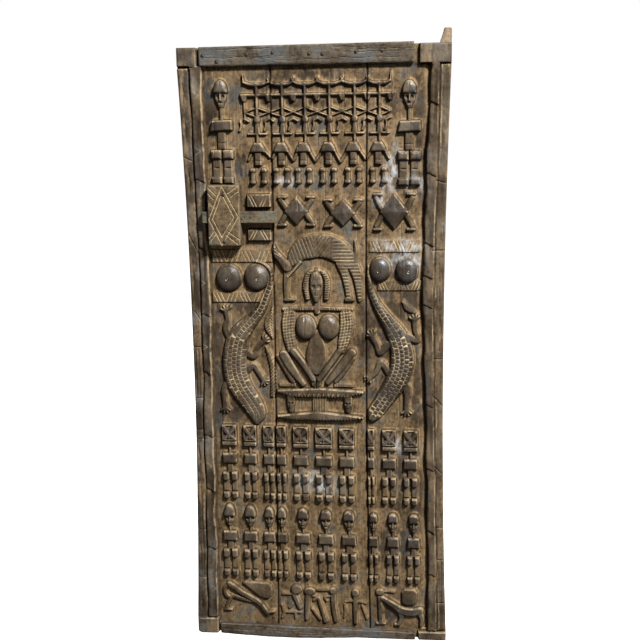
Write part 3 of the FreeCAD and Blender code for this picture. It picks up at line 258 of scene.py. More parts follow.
# Seated ancestor: hands to the chest and knees drawn up, under a yoke. The hair hangs in
# two braids, the arms are cross-hatched, and the face is a plain calm mask.
HEAD = [(431, 1276, 6), (431, 1250, 19), (432, 1215, 20), (432, 1178, 9)]
BRAIDS = [[(422, 1276, 6), (404, 1260, 8), (397, 1225, 9), (403, 1184, 7)],
          [(440, 1276, 6), (459, 1263, 8), (468, 1235, 10), (464, 1184, 8)]]
UPPER_ARMS = [[(342, 1130, 21), (338, 1100, 22), (340, 1060, 20), (347, 1012, 14)],
              [(528, 1130, 21), (530, 1100, 23), (524, 1060, 21), (511, 1012, 13)]]
FOREARMS = [[(352, 1010, 11), (390, 960, 10), (417, 914, 9)],
            [(507, 1010, 10), (468, 955, 9), (438, 914, 9)]]
THIGHS = [[(321, 995, 15), (350, 945, 14), (384, 897, 9)],
          [(545, 1004, 14), (505, 950, 13), (466, 903, 9)]]
SHINS = [[(301, 992, 7), (325, 948, 8), (350, 906, 8)],
         [(550, 985, 6), (521, 940, 7), (492, 905, 6)]]
FEATURE = 2.2


def plate(corners):
    """A flat-sided form through corners given anticlockwise."""
    points = np.array(corners, float)
    window = near(points[:, 0].min() - SPARE, points[:, 0].max() + SPARE,
                  points[:, 1].min() - SPARE, points[:, 1].max() + SPARE)
    x, z = X[window], Z[window]
    inside = np.full(x.shape, 999.0)
    for (x0, z0), (x1, z1) in zip(points, np.roll(points, -1, axis=0)):
        length = math.hypot(x1 - x0, z1 - z0)
        inside = np.minimum(inside, ((x1 - x0) * (z - z0) - (z1 - z0) * (x - x0)) / length)
    return window, inside, x - points[:, 0].mean(), z - points[:, 1].mean()


def box(low_x, high_x, low_z, high_z):
    """An upright rectangle."""
    return plate([(low_x, low_z), (high_x, low_z), (high_x, high_z), (low_x, high_z)])


def score(points, width=3.8, depth=2.6, fresh=True):
    """A V cut along a line. A fresh cut shows the light wood inside."""
    window, inside = bar([(x, z, width / 2) for x, z in points])[:2]
    share = np.clip(inside / (width / 2), 0, 1)
    relief[window] -= depth * share
    if fresh:
        scored[window] = np.maximum(scored[window], share)


def face(x, chin, brow, half, height):
    """A plain long mask: arched brows, straight nose, narrow eyes and a small mouth."""
    long = brow - chin
    tip = chin + long * 0.40
    for side in (-1, 1):
        press(oval(x + side * half * 0.46, brow - long * 0.20, half * 0.40, long * 0.17), 4, 4)
        stand(bar([(x + side * half * 0.10, brow - 1, FEATURE), (x + side * half * 0.5, brow + 2,
                   FEATURE), (x + side * half * 0.9, brow - 2, FEATURE * 0.7)]), height + 3, 3)
    stand(bar([(x, brow, FEATURE), (x, tip, FEATURE * 1.5)]), height + 5, 3.4)
    press(oval(x, chin + long * 0.27, half * 0.5, FEATURE * 0.8), 3, 2)
    stand(bar([(x - half * 0.3, chin + long * 0.16, FEATURE * 0.8),
               (x + half * 0.3, chin + long * 0.16, FEATURE * 0.8)]), height + 1.5, 2)


stand(bar([(433, 1182, 9), (434, 1140, 10)]), 9, 6)
limb(HEAD, 17, 16, wall_share=0.4)
for stations in BRAIDS:
    form = limb(stations, 11, 7)
    stripe(form, Z[form[0]] - 0.5 * np.abs(form[3]), 7.5, width=3.6, depth=3.2, margin=0.5)
face(432, 1180, 1234, 19, 14)
for offset in (-11, -4, 4, 11):
    score([(431 + offset, 1244), (431 + offset * 0.5, 1272)], 3, 2)
yoke = bar([(324, 1148, 6), (432, 1151, 7), (546, 1148, 6)])
stand(yoke, 9, 4)
stripe(yoke, X[yoke[0]] + 0.4 * Z[yoke[0]], 8, where=(np.abs(X[yoke[0]] - 432) > 40), margin=0)
for stations in UPPER_ARMS:
    form = limb(stations, 10, 9)
    stripe(form, Z[form[0]] - 0.15 * X[form[0]], 10, width=2.6, margin=1)
    stripe(form, form[3] + 4.5, 9.5, width=2.6, margin=1)
limb([(431, 1066, 14), (430, 1030, 26), (428, 985, 33), (428, 940, 13)], 10, 16)
for offset, sway in ((-16, 3), (-7, -2), (2, 2), (10, -3), (18, 2)):
    score([(430 + offset, 1036 - abs(offset)), (430 + offset + sway, 990),
           (429 + offset * 0.6, 950)], 2.4, 1.2, fresh=False)
for pair, height, edge in ((THIGHS, 14, 9), (SHINS, 9, 6), (FOREARMS, 16, 8)):
    for stations in pair:
        limb(stations, height, edge)
for side in (-1, 1):
    for finger in range(4):
        base_x = 427 + side * (3 + 3.6 * finger)
        stand(bar([(base_x, 912, 1.9), (base_x - side * finger * 0.6, 884 + 3 * finger, 1.6)]),
              13, 2)
for side, x in ((-1, 396), (1, 471)):
    form = oval(x, 1089, 34, 42)
    drop = np.where(form[3] < 0, 1 - 0.22 * (form[3] / 42) ** 2, 1)
    stand((form[0], form[1] * drop), 24, 33, wall_share=0.25)
    press(oval(x - side * 3, 1076, 3.0, 3.0), 2.2, 2.5)
for side in (-1, 1):
    score([(432 + side * 14, 1154), (432 + side * 2, 1128)], 3, 2)
stand(box(303, 360, 886, 900), 6, 3)
stand(box(485, 552, 886, 900), 6, 3)
for x in range(310, 358, 8):
    score([(x, 888), (x, 898)], 2.4, 1.6)
    score([(x + 182, 888), (x + 182, 898)], 2.4, 1.6)

# Stool: a round seat and a round base, seen edge on, joined by a fluted post with a
# carrying mask at each side. The seat's rim is notched, and both have a toothed edge below.
stand(plate([(437, 852), (530, 853), (584, 866), (584, 876), (437, 885), (297, 878),
             (297, 868), (345, 854)]), 16, 5)
stand(plate([(435, 773), (530, 774), (583, 780), (583, 788), (435, 805), (296, 791),
             (296, 782), (345, 775)]), 16, 5)
for x in range(306, 580, 8):
    score([(x, 854 + abs(x - 440) * 0.06), (x + 4, 868)], 3.6, 3.6, fresh=x % 16 < 8)
for x in range(302, 576, 10):
    for rim in ((782, 775, 773, 774, 780), (868, 854, 852, 853, 866)):
        low = np.interp(x + 3, (296, 345, 435, 530, 583), rim)
        press(plate([(x, low - 3), (x + 6.5, low - 3), (x + 3.2, low + 11)]), 12, 2)
post = box(414, 461, 803, 856)
stand(post, 9, 10)
stripe(post, post[2] + 4, 8, width=4, depth=3, margin=0)
for x in (342, 532):
    stand(bar([(x, 852, 14), (x, 830, 13), (x, 806, 8)]), 13, 10)
    face(x, 806, 838, 12, 12)

# Small emblems beside the seated ancestor: a feather with a quill and barbs, and a twisted
# rope, on the left, and a crescent below the right bosses.
feather = limb([(287, 1148, 4), (279, 1120, 14), (275, 1090, 16), (285, 1052, 4)], 8, 7)
score([(286, 1140), (279, 1095), (285, 1060)], 3, 2)
stripe(feather, Z[feather[0]] + 0.9 * np.abs(feather[3]), 9, depth=3, margin=1)
rope = limb([(263, 1020, 4), (275, 985, 8), (283, 950, 9), (284, 900, 9), (281, 857, 8)], 9, 8)
stripe(rope, Z[rope[0]] + 0.9 * rope[3], 12, width=5, depth=6, margin=-1)
limb([(712, 1172, 4), (726, 1152, 9), (748, 1138, 5)], 7, 6)

# Bosses: polished round breasts in pairs, each in a shallow dish and with a small blunt
# tip, between two fields of slanting cuts.
BOSSES = ((147, 1252, 42, 45, -1), (238, 1254, 41, 44, 1),
          (639, 1279, 34, 40, -1), (725, 1276, 36, 42, 1))
FIELDS = ((92, 289, 1302, 1344), (89, 270, 1170, 1204), (604, 765, 1333, 1373),
          (630, 775, 1209, 1241))
CUTS = ((-1, (12, 24, 37)), (1, (55, 68, 82)), (-1, (100, 112, 124)), (1, (146, 158, 171)))
for low_x, high_x, low_z, high_z in FIELDS:
    stand(box(low_x, high_x, low_z, high_z), 4, 2)
    for lean, places in CUTS:
        for place in places:
            x = low_x + place * (high_x - low_x) / 185
            run = (high_z - low_z) * 0.36
            score([(x - lean * run / 2, low_z + 3), (x + lean * run / 2, high_z - 3)], 4, 3)
for x, z, half_width, half_height, side in BOSSES:
    dish = oval(x, z, half_width + 7, half_height + 6)
    press(dish, 2.5, 7)
    boss = oval(x, z, half_width, half_height)
    stand(boss, 24, half_width, wall_share=0.2)
    shade(boss, 0.45 if x < 400 else 0.95)
    press(oval(x + 4 * side, z - 2, 7, 7), 2.5, 4)
    stand(oval(x + 4 * side, z - 2, 3, 3), 25.5, 2.5)

# Turtles: three faceted diamonds, each a roof of four planes that rises to a crest across
# its middle, on four slanting legs with straight feet.
TURTLES = ((371, 1467, 40, 47), (521, 1460, 42, 44), (684, 1463, 47, 59))
for x, z, half_width, half_height in TURTLES:
    window = near(x - half_width - 4, x + half_width + 4, z - half_height - 4,
                  z + half_height + 4)
    across, up = np.abs(X[window] - x), np.abs(Z[window] - z)
    slope = 1 - across / half_width - up / half_height
    roof = 1 - 0.3 * across / half_width - up / half_height
    for side in (-1, 1):
        for rise in (-1, 1):
            ankle = (x + side * (half_width + 10), z + rise * half_height * 0.76)
            sole = z + rise * half_height * 0.94
            stand(bar([(x + side * (half_width - 12), z + rise * 4, 8.5), (*ankle, 7.5)]), 10, 6)
            stand(bar([(x + side * (half_width - 4), sole, 5),
                       (x + side * (half_width + 16), sole, 5)]), 11, 4)
    wall = np.clip(slope * 14, 0, 1)
    grown = wall * (8 + 9 * np.clip(roof, 0, 1))
    proud = grown > relief[window]
    scored[window] = np.where(proud, 0, scored[window])
    relief[window] = np.where(proud, grown, relief[window])
    shade((window, slope * 20), 0.9 if x > 600 else 0.4)

# Guide blocks: two raised blocks on the right of the lock case, above and below the line
# of the bolt, scored with slanting lines.
for low_z, high_z in ((1480, 1522), (1373, 1410)):
    stand(box(213, 290, low_z, high_z), 14, 3)
    way = 1 if low_z < 1400 else -1
    for place, lean in ((14, way), (24, way), (50, -way), (60, -way)):
        score([(213 + place - lean * 8, low_z + 4), (213 + place + lean * 8, high_z - 4)], 4, 3)

# Ancestor rows: ten standing figures with square masks, and ten below them in ovoid caps.
# Each is a pile of short blocks: mask, neck, shoulders, trunk, hips, shins and feet.
MASK_ROW = ((131, 50), (201, 44), (264, 37), (306, 34), (372, 51), (449, 56), (526, 51),
            (607, 24), (667, 47), (738, 47))
CAP_ROW = ((124, 50), (195, 48), (260, 41), (303, 38), (375, 50), (453, 53), (531, 50),
           (614, 34), (679, 42), (749, 43))
ROW_FALL = 12.0
FOOT_RISE, HIP_RISE, TRUNK_RISE, SHOULDER_RISE = 30, 28, 32, 35


def block(x, half, low_z, high_z):
    """An upright rectangle about a middle line."""
    return box(x - half, x + half, low_z, high_z)


def gently(form, height, edge=4.0):
    """A block of the figures: steep sides, then a flat-crowned top, darkened by smoke."""
    stand(form, height, edge, wall_share=0.55)
    shade(form, 0.3)


def standing(x, foot, shin, wide, shoulder_drop):
    """One figure from the feet to the shoulders. Returns the height of the neck's foot."""
    half = wide / 2
    stance, leg_half = half * 0.58, half * 0.40
    ankle, knee = foot + FOOT_RISE, foot + FOOT_RISE + shin
    hip, chest = knee + HIP_RISE, knee + HIP_RISE + TRUNK_RISE
    throat = chest + SHOULDER_RISE
    for side in (-stance, stance):
        stand(block(x + side, leg_half * 1.05, ankle - 4, knee + 6), 7, 6)
        for low, high, tall in ((foot, ankle - 6, 15), (knee - 1, hip + 2, 18)):
            form = bar([(x + side, low + leg_half, leg_half * 1.1),
                        (x + side, high + leg_half, leg_half)])
            form = (form[0], np.minimum(form[1], high - Z[form[0]]))
            stand(form, tall, 8)
            shade(form, 0.3)
    gently(block(x, half * 0.42, hip - 2, chest + 2), 8)
    shoulders = plate([(x - half, chest), (x + half, chest), (x + half - shoulder_drop, throat),
                       (x - half + shoulder_drop, throat)])
    gently(shoulders, 15, 8)
    shade(shoulders, 0.45 if x < 600 else 0.95)
    return throat


for x, wide in MASK_ROW:
    fall = ROW_FALL * (x - 131) / 607
    throat = standing(x, 494 - fall, 36, wide, 1)
    chin, half = throat + 27, wide / 2
    stand(block(x, 4, throat - 2, chin + 2), 9, 4)
    gently(block(x, half, chin, chin + 72), 14)
    top, brow = chin + 72, chin + 38
    for hollow_cut in (plate([(x - half + 1, top - 10), (x - half + 1, chin + 22), (x - 4, brow)]),
                       plate([(x + half - 1, chin + 22), (x + half - 1, top - 10), (x + 4, brow)]),
                       plate([(x - half * 0.72, top), (x, brow + 5), (x + half * 0.72, top)]),
                       plate([(x - half * 0.72, chin + 20), (x + half * 0.72, chin + 20),
                              (x, brow - 5)])):
        press(hollow_cut, 8, 6)
        # Painted shade in the mask's sunk hollows.
        shade((hollow_cut[0], hollow_cut[1] - 2), 1.0)
    press(box(x - half - 1, x + half + 1, chin + 13, chin + 19), 8, 2.4)
    stand(bar([(x, brow + 3, 2.4), (x, chin + 27, 3.4)]), 17, 3)

for x, wide in CAP_ROW:
    fall = ROW_FALL * (x - 124) / 607
    throat = standing(x, 213 - fall, 40, wide, 2)
    chin, half = throat + 20, min(wide * 0.40, 19)
    stand(block(x, 3.5, throat - 2, chin + 4), 9, 4)
    stand(bar([(x, chin + 5, half * 0.42), (x, chin + 18, half * 0.72),
               (x, chin + 36, half * 0.94)]), 12, 8)
    for side in (-1, 1):
        press(oval(x + side * half * 0.45, chin + 27, half * 0.34, 6), 6, 4)
    press(oval(x, chin + 10, half * 0.36, 2.4), 4, 2)
    stand(bar([(x, chin + 34, 2.2), (x, chin + 16, 3.6)]), 17, 3)
    crown = chin + 74 - 14 * (x - 124) / 625
    cap = bar(flowing([(x, chin + 36, half), (x, chin + 49, half * 0.96),
                       (x, crown - 11, half * 0.7), (x, crown, 2)]))
    cap = (cap[0], np.minimum(cap[1], Z[cap[0]] - chin - 34))
    stand(cap, 20, 13, wall_share=0.5)
    shade(cap, 0.35 if x < 600 else 0.6)
    score([(x, chin + 44), (x, crown - 3)], 2.6, 1.6, fresh=False)

# Tall ancestors: one in each upper corner, in a smooth cap, with a square yoke of
# shoulders and heavy stepped legs.
for x, foot in ((137, 1556), (731, 1547)):
    brow = foot + 284
    stand(bar([(x, brow + 2, 20), (x, brow - 18, 17), (x, brow - 38, 9)]), 12, 10)
    for side in (-1, 1):
        press(oval(x + side * 8, brow - 12, 7, 8), 6, 5)
    stand(bar([(x, brow, 2.6), (x, brow - 22, 4.6)]), 18, 4)
    press(oval(x, brow - 30, 8, 3), 4, 2.5)
    stand(bar([(x - 5, brow - 36, 2.6), (x + 5, brow - 36, 2.6)]), 13, 2.4)
    dome = oval(x, brow + 4, 22, 36)
    dome = (dome[0], np.minimum(dome[1], Z[dome[0]] - brow + 1))
    stand(dome, 20, 15, wall_share=0.6)
    score([(x - 3, brow + 4), (x, brow + 36)], 2.6, 1.6, fresh=False)
    stand(block(x, 5.5, foot + 198, foot + 246), 8, 5)
    gently(plate([(x - 37, foot + 164), (x + 36, foot + 168), (x + 36, foot + 201),
                  (x - 30, foot + 199)]), 17, 6)
    gently(box(x - 14, x + 13, foot + 108, foot + 168), 9, 6)
    score([(x - 13, foot + 128), (x + 13, foot + 128)], 3.6, 3, fresh=False)
    for side in (-1, 1):
        gently(block(x + side * 18, 14, foot + 16, foot + 84), 9, 7)
        press(oval(x + side * 18, foot + 50, 13, 4), 4, 3)
        stand(block(x + side * 19, 17, foot + 78, foot + 107), 19, 12)
        gently(block(x + side * 19, 16, foot, foot + 22), 15, 7)

# Lattice: dancers joined hand to hand, under a rack of poles with a swagged top rail,
# tapering drops and crossed struts.
POLES = (251, 332, 404, 481, 560, 638)
DANCERS = (252, 327, 397, 476, 555, 634)
HANDS = ((220, 1630), (297, 1635), (365, 1628), (435, 1625), (515, 1622), (595, 1630),
         (668, 1632))
CUSPS = (211, 290, 367, 443, 521, 600, 671)
for number, x in enumerate(POLES):
    stand(block(x, 4.2, 1752, 1870), 11, 4)
    for cusp in (CUSPS[number], CUSPS[number + 1]):
        away = 1 if cusp > x else -1
        tip = 1896 if cusp in (CUSPS[0], CUSPS[-1]) else 1884
        limb([(x, 1862, 6), (x + away * 20, 1864, 5), (cusp, 1871, 4.2)], 11, 5)
        stand(bar([(cusp, 1870, 3.4), (cusp + away * 3, tip, 1.6)]), 10, 3)
        stand(bar([(x, 1831, 4.8), (cusp, 1831, 4.8)]), 10, 4)
        for strut_z in (1793, 1764):
            stand(bar([(cusp, 1778, 3), (x, strut_z, 2.6)]), 8, 4)
        stand(bar([(cusp, 1758, 4), (cusp - away * 13, 1751, 4)]), 9, 4)
    stand(oval(x, 1756, 10, 13), 14, 8)
    gently(plate([(x - 9, 1712), (x + 9, 1712), (x + 6, 1746), (x - 6, 1746)]), 10)
    stand(bar([(x - 28, 1711, 3.6), (x + 28, 1711, 3.6)]), 9, 3)
    stand(block(x, 4, 1680, 1712), 9, 4)
stand(bar([(CUSPS[0], 1831, 3.6), (CUSPS[0] + 2, 1750, 3)]), 8, 4)
for cusp in CUSPS:
    stand(plate([(cusp - 5, 1811), (cusp + 5, 1811), (cusp + 14, 1836), (cusp - 14, 1836)]), 12, 5)
    score([(cusp, 1836), (cusp, 1816)], 2.6, 2, fresh=False)
    limb([(cusp - 13, 1751, 3.6), (cusp - 11, 1738, 3.2), (cusp - 16, 1722, 3.6)], 8, 3)
for number, x in enumerate(DANCERS):
    gently(plate([(x - 25, 1653), (x + 25, 1653), (x + 21, 1668), (x + 11, 1684), (x - 11, 1684),
                  (x - 21, 1668)]), 16, 8)
    for hand, side in ((HANDS[number], -1), (HANDS[number + 1], 1)):
        stand(bar([(x + side * 17, 1662, 4.2), (hand[0] - side * 1, hand[1], 4)]), 9, 4)
    gently(block(x, 11, 1612, 1654), 11, 6)
    score([(x - 11, 1628), (x + 11, 1628)], 3.6, 2.6, fresh=False)
    for side in (-18, 18):
        stand(block(x + side, 7.5, 1562, 1598), 10, 6)
        for z, height in ((1597, 14), (1560, 15)):
            stand(bar([(x + side - 2, z, 7.5), (x + side + 2, z, 7.5)]), height, 7)

# Lowest scene: a leaping animal by a shield, people at work with poles and baskets, and a
# rider leading a horse.
LOWEST_BARS = (
    (12, (115, 182, 9), (160, 150, 9), (215, 117, 9), (245, 77, 8)),
    (9, (245, 78, 6), (268, 82, 5)), (8, (124, 138, 7), (164, 126, 7), (203, 117, 6)),
    (9, (115, 182, 6), (98, 163, 7), (103, 140, 7), (117, 129, 7), (107, 107, 6),
     (102, 88, 6)), (9, (98, 86, 5), (120, 86, 4)),
    (6, (300, 149, 5), (330, 149, 5)), (8, (336, 158, 8), (347, 130, 8), (359, 98, 7)),
    (6, (308, 82, 5), (361, 82, 5)), (6, (343, 78, 5), (343, 60, 4)),
    (6, (296, 108, 5), (303, 82, 6), (297, 61, 5)), (6, (334, 112, 4), (323, 98, 4)),
    (6, (420, 169, 7), (457, 169, 7)), (9, (387, 148, 9), (385, 100, 9), (382, 60, 6)),
    (6, (398, 146, 5), (416, 140, 5), (408, 128, 5)), (9, (475, 150, 9), (476, 110, 9),
     (484, 58, 9)), (6, (466, 146, 5), (446, 140, 5), (452, 128, 5)),
    (8, (424, 138, 6), (436, 95, 7), (447, 54, 8)), (7, (403, 96, 6), (429, 59, 6)),
    (9, (551, 146, 8), (550, 95, 8), (552, 52, 8)), (6, (516, 126, 4), (549, 130, 5),
     (586, 122, 5)), (6, (513, 118, 5), (517, 92, 6), (512, 68, 4)),
    (6, (574, 114, 5), (590, 66, 5)), (6, (652, 168, 4), (672, 168, 4)),
    (6, (676, 168, 6), (682, 168, 6)), (9, (635, 146, 8), (636, 98, 8), (638, 58, 8)),
    (8, (626, 51, 5), (652, 51, 4)), (13, (644, 146, 8), (678, 124, 10), (709, 103, 13),
     (742, 97, 14), (772, 104, 12)), (11, (706, 96, 10), (708, 74, 8), (700, 52, 7)),
    (11, (768, 98, 10), (778, 74, 8), (776, 50, 7)), (10, (688, 50, 5), (702, 50, 5)))
LOWEST_HEADS = ((348, 168, 19, 18), (394, 162, 20, 14), (474, 166, 13, 13),
                (551, 161, 13, 15), (635, 167, 15, 12))
for height, *stations in LOWEST_BARS:
    limb(stations, height, 5)
for x, z, half_width, half_height in LOWEST_HEADS:
    stand(oval(x, z, half_width, half_height), 12, 9)
stand(plate([(217, 139), (236, 131), (252, 132), (262, 143), (266, 160), (262, 180), (250, 190),
             (172, 193), (160, 187)]), 11, 8)
stand(plate([(720, 122), (750, 122), (761, 132), (763, 168), (752, 180), (720, 181), (709, 170),
             (708, 132)]), 11, 10)

# Seams, edges and border: the outer planks keep a flat band along each long edge and, inside
# it, a higher ridge chopped into long scoops that meet in V creases.
EDGE_BOW_LEFT, EDGE_BOW_RIGHT = 19.0, 17.0
CORNER_TOP, FOOT_LEFT, FOOT_RIGHT = 1919.0, 58.0, 32.0
SEAM_GAP = 2.4
BORDER_HEIGHT, BAND_HEIGHT = 18.0, 10.0
DEEPER = 1.15


def mottle(seed, across_step, up_step):
    """Smooth unevenness between -1 and 1, in lumps of a given width and height."""
    rng = np.random.default_rng(seed)
    coarse = rng.uniform(-1, 1, (int(DOOR_HEIGHT / up_step) + 4,
                                 int(DOOR_WIDTH / across_step) + 4))
    place_z, place_x = rows / up_step, columns / across_step
    i, j = place_z.astype(int), place_x.astype(int)
    tz, tx = (place_z - i)[:, None], (place_x - j)[None, :]
    tz, tx = tz * tz * (3 - 2 * tz), tx * tx * (3 - 2 * tx)
    low = coarse[i][:, j] * (1 - tx) + coarse[i][:, j + 1] * tx
    high = coarse[i + 1][:, j] * (1 - tx) + coarse[i + 1][:, j + 1] * tx
    return low * (1 - tz) + high * tz


def bowed(z, low, high, bow):
    """The push of a bowed line at a height."""
    share = np.clip((z - low) / (high - low), 0, 1)
    return 4 * bow * share * (1 - share)


def left_edge(z):
    """The door's left edge, with a corner broken off its foot."""
    broken = 8 * np.clip(1 - z / 12, 0, 1) ** 2
    return bowed(z, FOOT_LEFT, CORNER_TOP, EDGE_BOW_LEFT) + broken


def right_edge(z):
    """The door's right edge, on the hinge side."""
    return DOOR_WIDTH - bowed(z, FOOT_RIGHT, CORNER_TOP, EDGE_BOW_RIGHT)


def left_seam(z):
    """The line between the left and the centre plank."""
    return 281 + 14 * z / DOOR_HEIGHT + bowed(z, 0, DOOR_HEIGHT, 3)


def right_seam(z):
    """The line between the centre and the right plank."""
    return 601 + z / DOOR_HEIGHT - bowed(z, 0, DOOR_HEIGHT, 10)


LEFT_STEP = ((60, 36), (330, 43), (1000, 50), (1250, 51), (1600, 46), (1915, 40))
LEFT_INNER = ((60, 73), (400, 77), (1200, 81), (1900, 79))
RIGHT_STEP = ((100, 828), (200, 826), (450, 820), (700, 816), (985, 811), (1225, 809),
              (1500, 815), (1700, 822), (1900, 825))
RIGHT_INNER = ((60, 798), (300, 796), (700, 789), (860, 784), (1150, 776), (1450, 779),
               (1700, 789), (1900, 799))
LEFT_CREASES = (60, 165, 400, 608, 816, 1020, 1233, 1498, 1658, 1832, 1919)
RIGHT_CREASES = (30, 139, 307, 470, 643, 812, 1000, 1130, 1287, 1475, 1703, 1919)
LEFT_STEPS = (315, 525, 716, 934, 1130, 1347, 1568)
RIGHT_STEPS = (235, 390, 610, 830, 1160, 1255, 1360, 1580, 1800)


CREASE_LEAN, SCOOP_DEPTH, SCOOP_TILT = 0.9, 6.5, 4.5
STEP_DEPTH, STEP_RUN = 5.0, 60


def line_at(knots):
    """A hewn line through (z, x) knots, over the whole field."""
    return np.interp(Z, *zip(*knots))


def ridge(outer, inner, creases, steps, low):
    """A ridge between two lines, chopped in scoops that lean one way and then the other."""
    middle, half = (outer + inner) / 2, np.abs(inner - outer) / 2
    skewed = Z - CREASE_LEAN * np.abs(X - middle)
    height = np.full(X.shape, BORDER_HEIGHT)
    for number, (start, end) in enumerate(zip(creases, creases[1:])):
        share = np.clip((skewed - start) / (end - start), 0, 1)
        lens = np.sin(np.pi * share)
        bank = np.clip(1 - np.abs(X - middle) / (half + 1), 0, 1)
        lean = (1 if number % 2 else -1) * (X - middle) / half
        height -= lens * (SCOOP_DEPTH * bank ** 0.6 + SCOOP_TILT * lean)
    for step in steps:
        fall = np.clip((step - 0.5 * (X - middle) - Z) / STEP_RUN, 0, 1)
        height -= np.where((fall > 0) & (fall < 1), STEP_DEPTH * (1 - fall), 0)
    inside = np.minimum(half - np.abs(X - middle), np.minimum(DOOR_HEIGHT - 2 - Z, Z - low - 2))
    return height * np.clip(inside / CUT_WALL + 0.5, 0, 1) - 2.0 * np.clip(1 - inside / 5, 0, 1)


relief *= DEEPER
left_step, left_inner = line_at(LEFT_STEP), line_at(LEFT_INNER)
right_step, right_inner = line_at(RIGHT_STEP), line_at(RIGHT_INNER)
LONG_WAVER, SHORT_WAVER = 3.6, 1.8
wavering = LONG_WAVER * mottle(11, 60, 110) + SHORT_WAVER * mottle(13, 30, 30)
left_inner, right_inner = left_inner + wavering, right_inner + wavering
band = np.where(((X < left_step + 2) | (X > right_step - 2)) & (Z < CORNER_TOP - 2)
                & (Z > FOOT_RIGHT + 2), BAND_HEIGHT + 0.8 * mottle(12, 30, 70), 0)
border = np.maximum(band, ridge(left_step, left_inner, LEFT_CREASES, LEFT_STEPS, FOOT_LEFT))
border = np.maximum(border, ridge(right_step, right_inner, RIGHT_CREASES, RIGHT_STEPS,
                                  FOOT_RIGHT))
scored = np.where(border > relief, 0, scored)
relief = np.maximum(relief, border)
between = (Z > FOOT_RIGHT + 4) & (Z < CORNER_TOP - 4)
for line, width, depth in ((left_step - 1 + wavering * 0.6, 3.2, 9.0),
                           (right_step + 1 + wavering * 0.5, 2.6, 5.0),
                           (left_inner + 3, 3.0, 4.0), (right_inner - 6, 8.0, 8.0)):
    relief -= np.where(between, depth * np.exp(-((X - line) / width) ** 2), 0)
CORNER_BLOCKS = ((0, 62, 1922, 1986), (0, 73, -6, 56), (762, 866, 1920, 1986),
                 (765, 866, -6, 30))
for corners in CORNER_BLOCKS:
    stand(box(*corners), BORDER_HEIGHT, 5, wall_share=0.7)
SCOOPS = ((847, 1715, 9, 62), (850, 1580, 8, 50), (838, 1430, 9, 56), (836, 1230, 8, 60),
          (834, 1070, 8, 48), (842, 760, 8, 52), (846, 500, 9, 44), (16, 1840, 9, 50),
          (20, 1730, 8, 44), (26, 1560, 9, 50), (28, 1240, 9, 60), (26, 640, 8, 50),
          (18, 300, 8, 54), (16, 110, 8, 40))
for x, z, half_width, half_height in SCOOPS:
    press(plate([(x - half_width, z), (x, z - half_height), (x + half_width, z),
                 (x, z + half_height)]), 4.5, 6)
CREASE_OUTER, CREASE_INNER = 52, 70
for z in LEFT_CREASES[1:-1]:
    score([(CREASE_OUTER, z + 16), (CREASE_INNER, z + 2)], 2.2, 1.0)
    score([(CREASE_INNER, z + 2), (CREASE_OUTER, z - 10)], 2.2, 1.0)
BLOCK_GAPS = ((62, 75, 1922, 1990, 16, 3), (4, 52, 1918.0, 1921.0, 7, 1.2),
              (826, 856, 1917.0, 1920.0, 7, 1.2), (766, 798, 1917.0, 1920.5, 8, 1.2))
for *corners, depth, edge in BLOCK_GAPS:
    press(box(*corners), depth, edge)

CROSS_CUTS = (
    (15, 1402, 50, 1326), (29, 1141, 50, 1106), (17, 1020, 49, 1020), (16, 704, 50, 704),
    (16, 735, 48, 735), (12, 380, 41, 380), (5, 205, 41, 205), (22, 846, 47, 846),
    (14, 1640, 46, 1626), (803, 1340, 846, 1340), (812, 985, 845, 985), (811, 860, 848, 820),
    (818, 618, 851, 585), (818, 405, 854, 405), (829, 290, 860, 290), (828, 133, 858, 133),
    (818, 1560, 848, 1552))
FLUTES = ((26, 850, 1016), (36, 850, 1012), (28, 385, 556), (40, 385, 548), (28, 210, 376),
          (40, 210, 376), (841, 136, 286), (851, 136, 286), (838, 410, 452), (848, 410, 446),
          (827, 1168, 1296), (829, 1012, 1128))
for x0, z0, x1, z1 in CROSS_CUTS:
    score([(x0, z0), (x1, z1)], 5, 4.5, fresh=False)
for x, low, high in FLUTES:
    score([(x, low), (x + 1, (low + high) / 2), (x, high)], 6, 3.6, fresh=False)

# Ground: the cut-back field keeps shallow gouge marks along the grain, a few drying
# cracks, and small dents. Every foot of a form is eased where the chisel came round it.
GOUGE_MARKS = ((0.6, 1, 34, 60), (0.45, 2, 10, 16), (0.18, 3, 4, 26))
CRACKS, CRACK_DEPTH, CRACK_HALF_WIDTHS = 46, 1.8, (0.3, 0.9, 0.9, 0.3)
SEAM_DEPTH, SEAM_SPREAD = 7.0, 2.6
EDGE_WEAR, END_WEAR, END_WEAR_REACH = 5.0, 3.0, 5
FOOT_EASE, FOOT_REACH = 0.25, 3


def soften(field, reach):
    """A field averaged over a reach in millimetres."""
    half = max(int(round(reach / GRIT)), 1)
    for axis in (0, 1, 0, 1):
        pad = [(half + 1, half) if axis == side else (0, 0) for side in (0, 1)]
        total = np.cumsum(np.pad(field, pad, mode="edge"), axis=axis)
        span = 2 * half + 1
        if axis == 0:
            field = (total[span:] - total[:-span]) / span
        else:
            field = (total[:, span:] - total[:, :-span]) / span
    return field


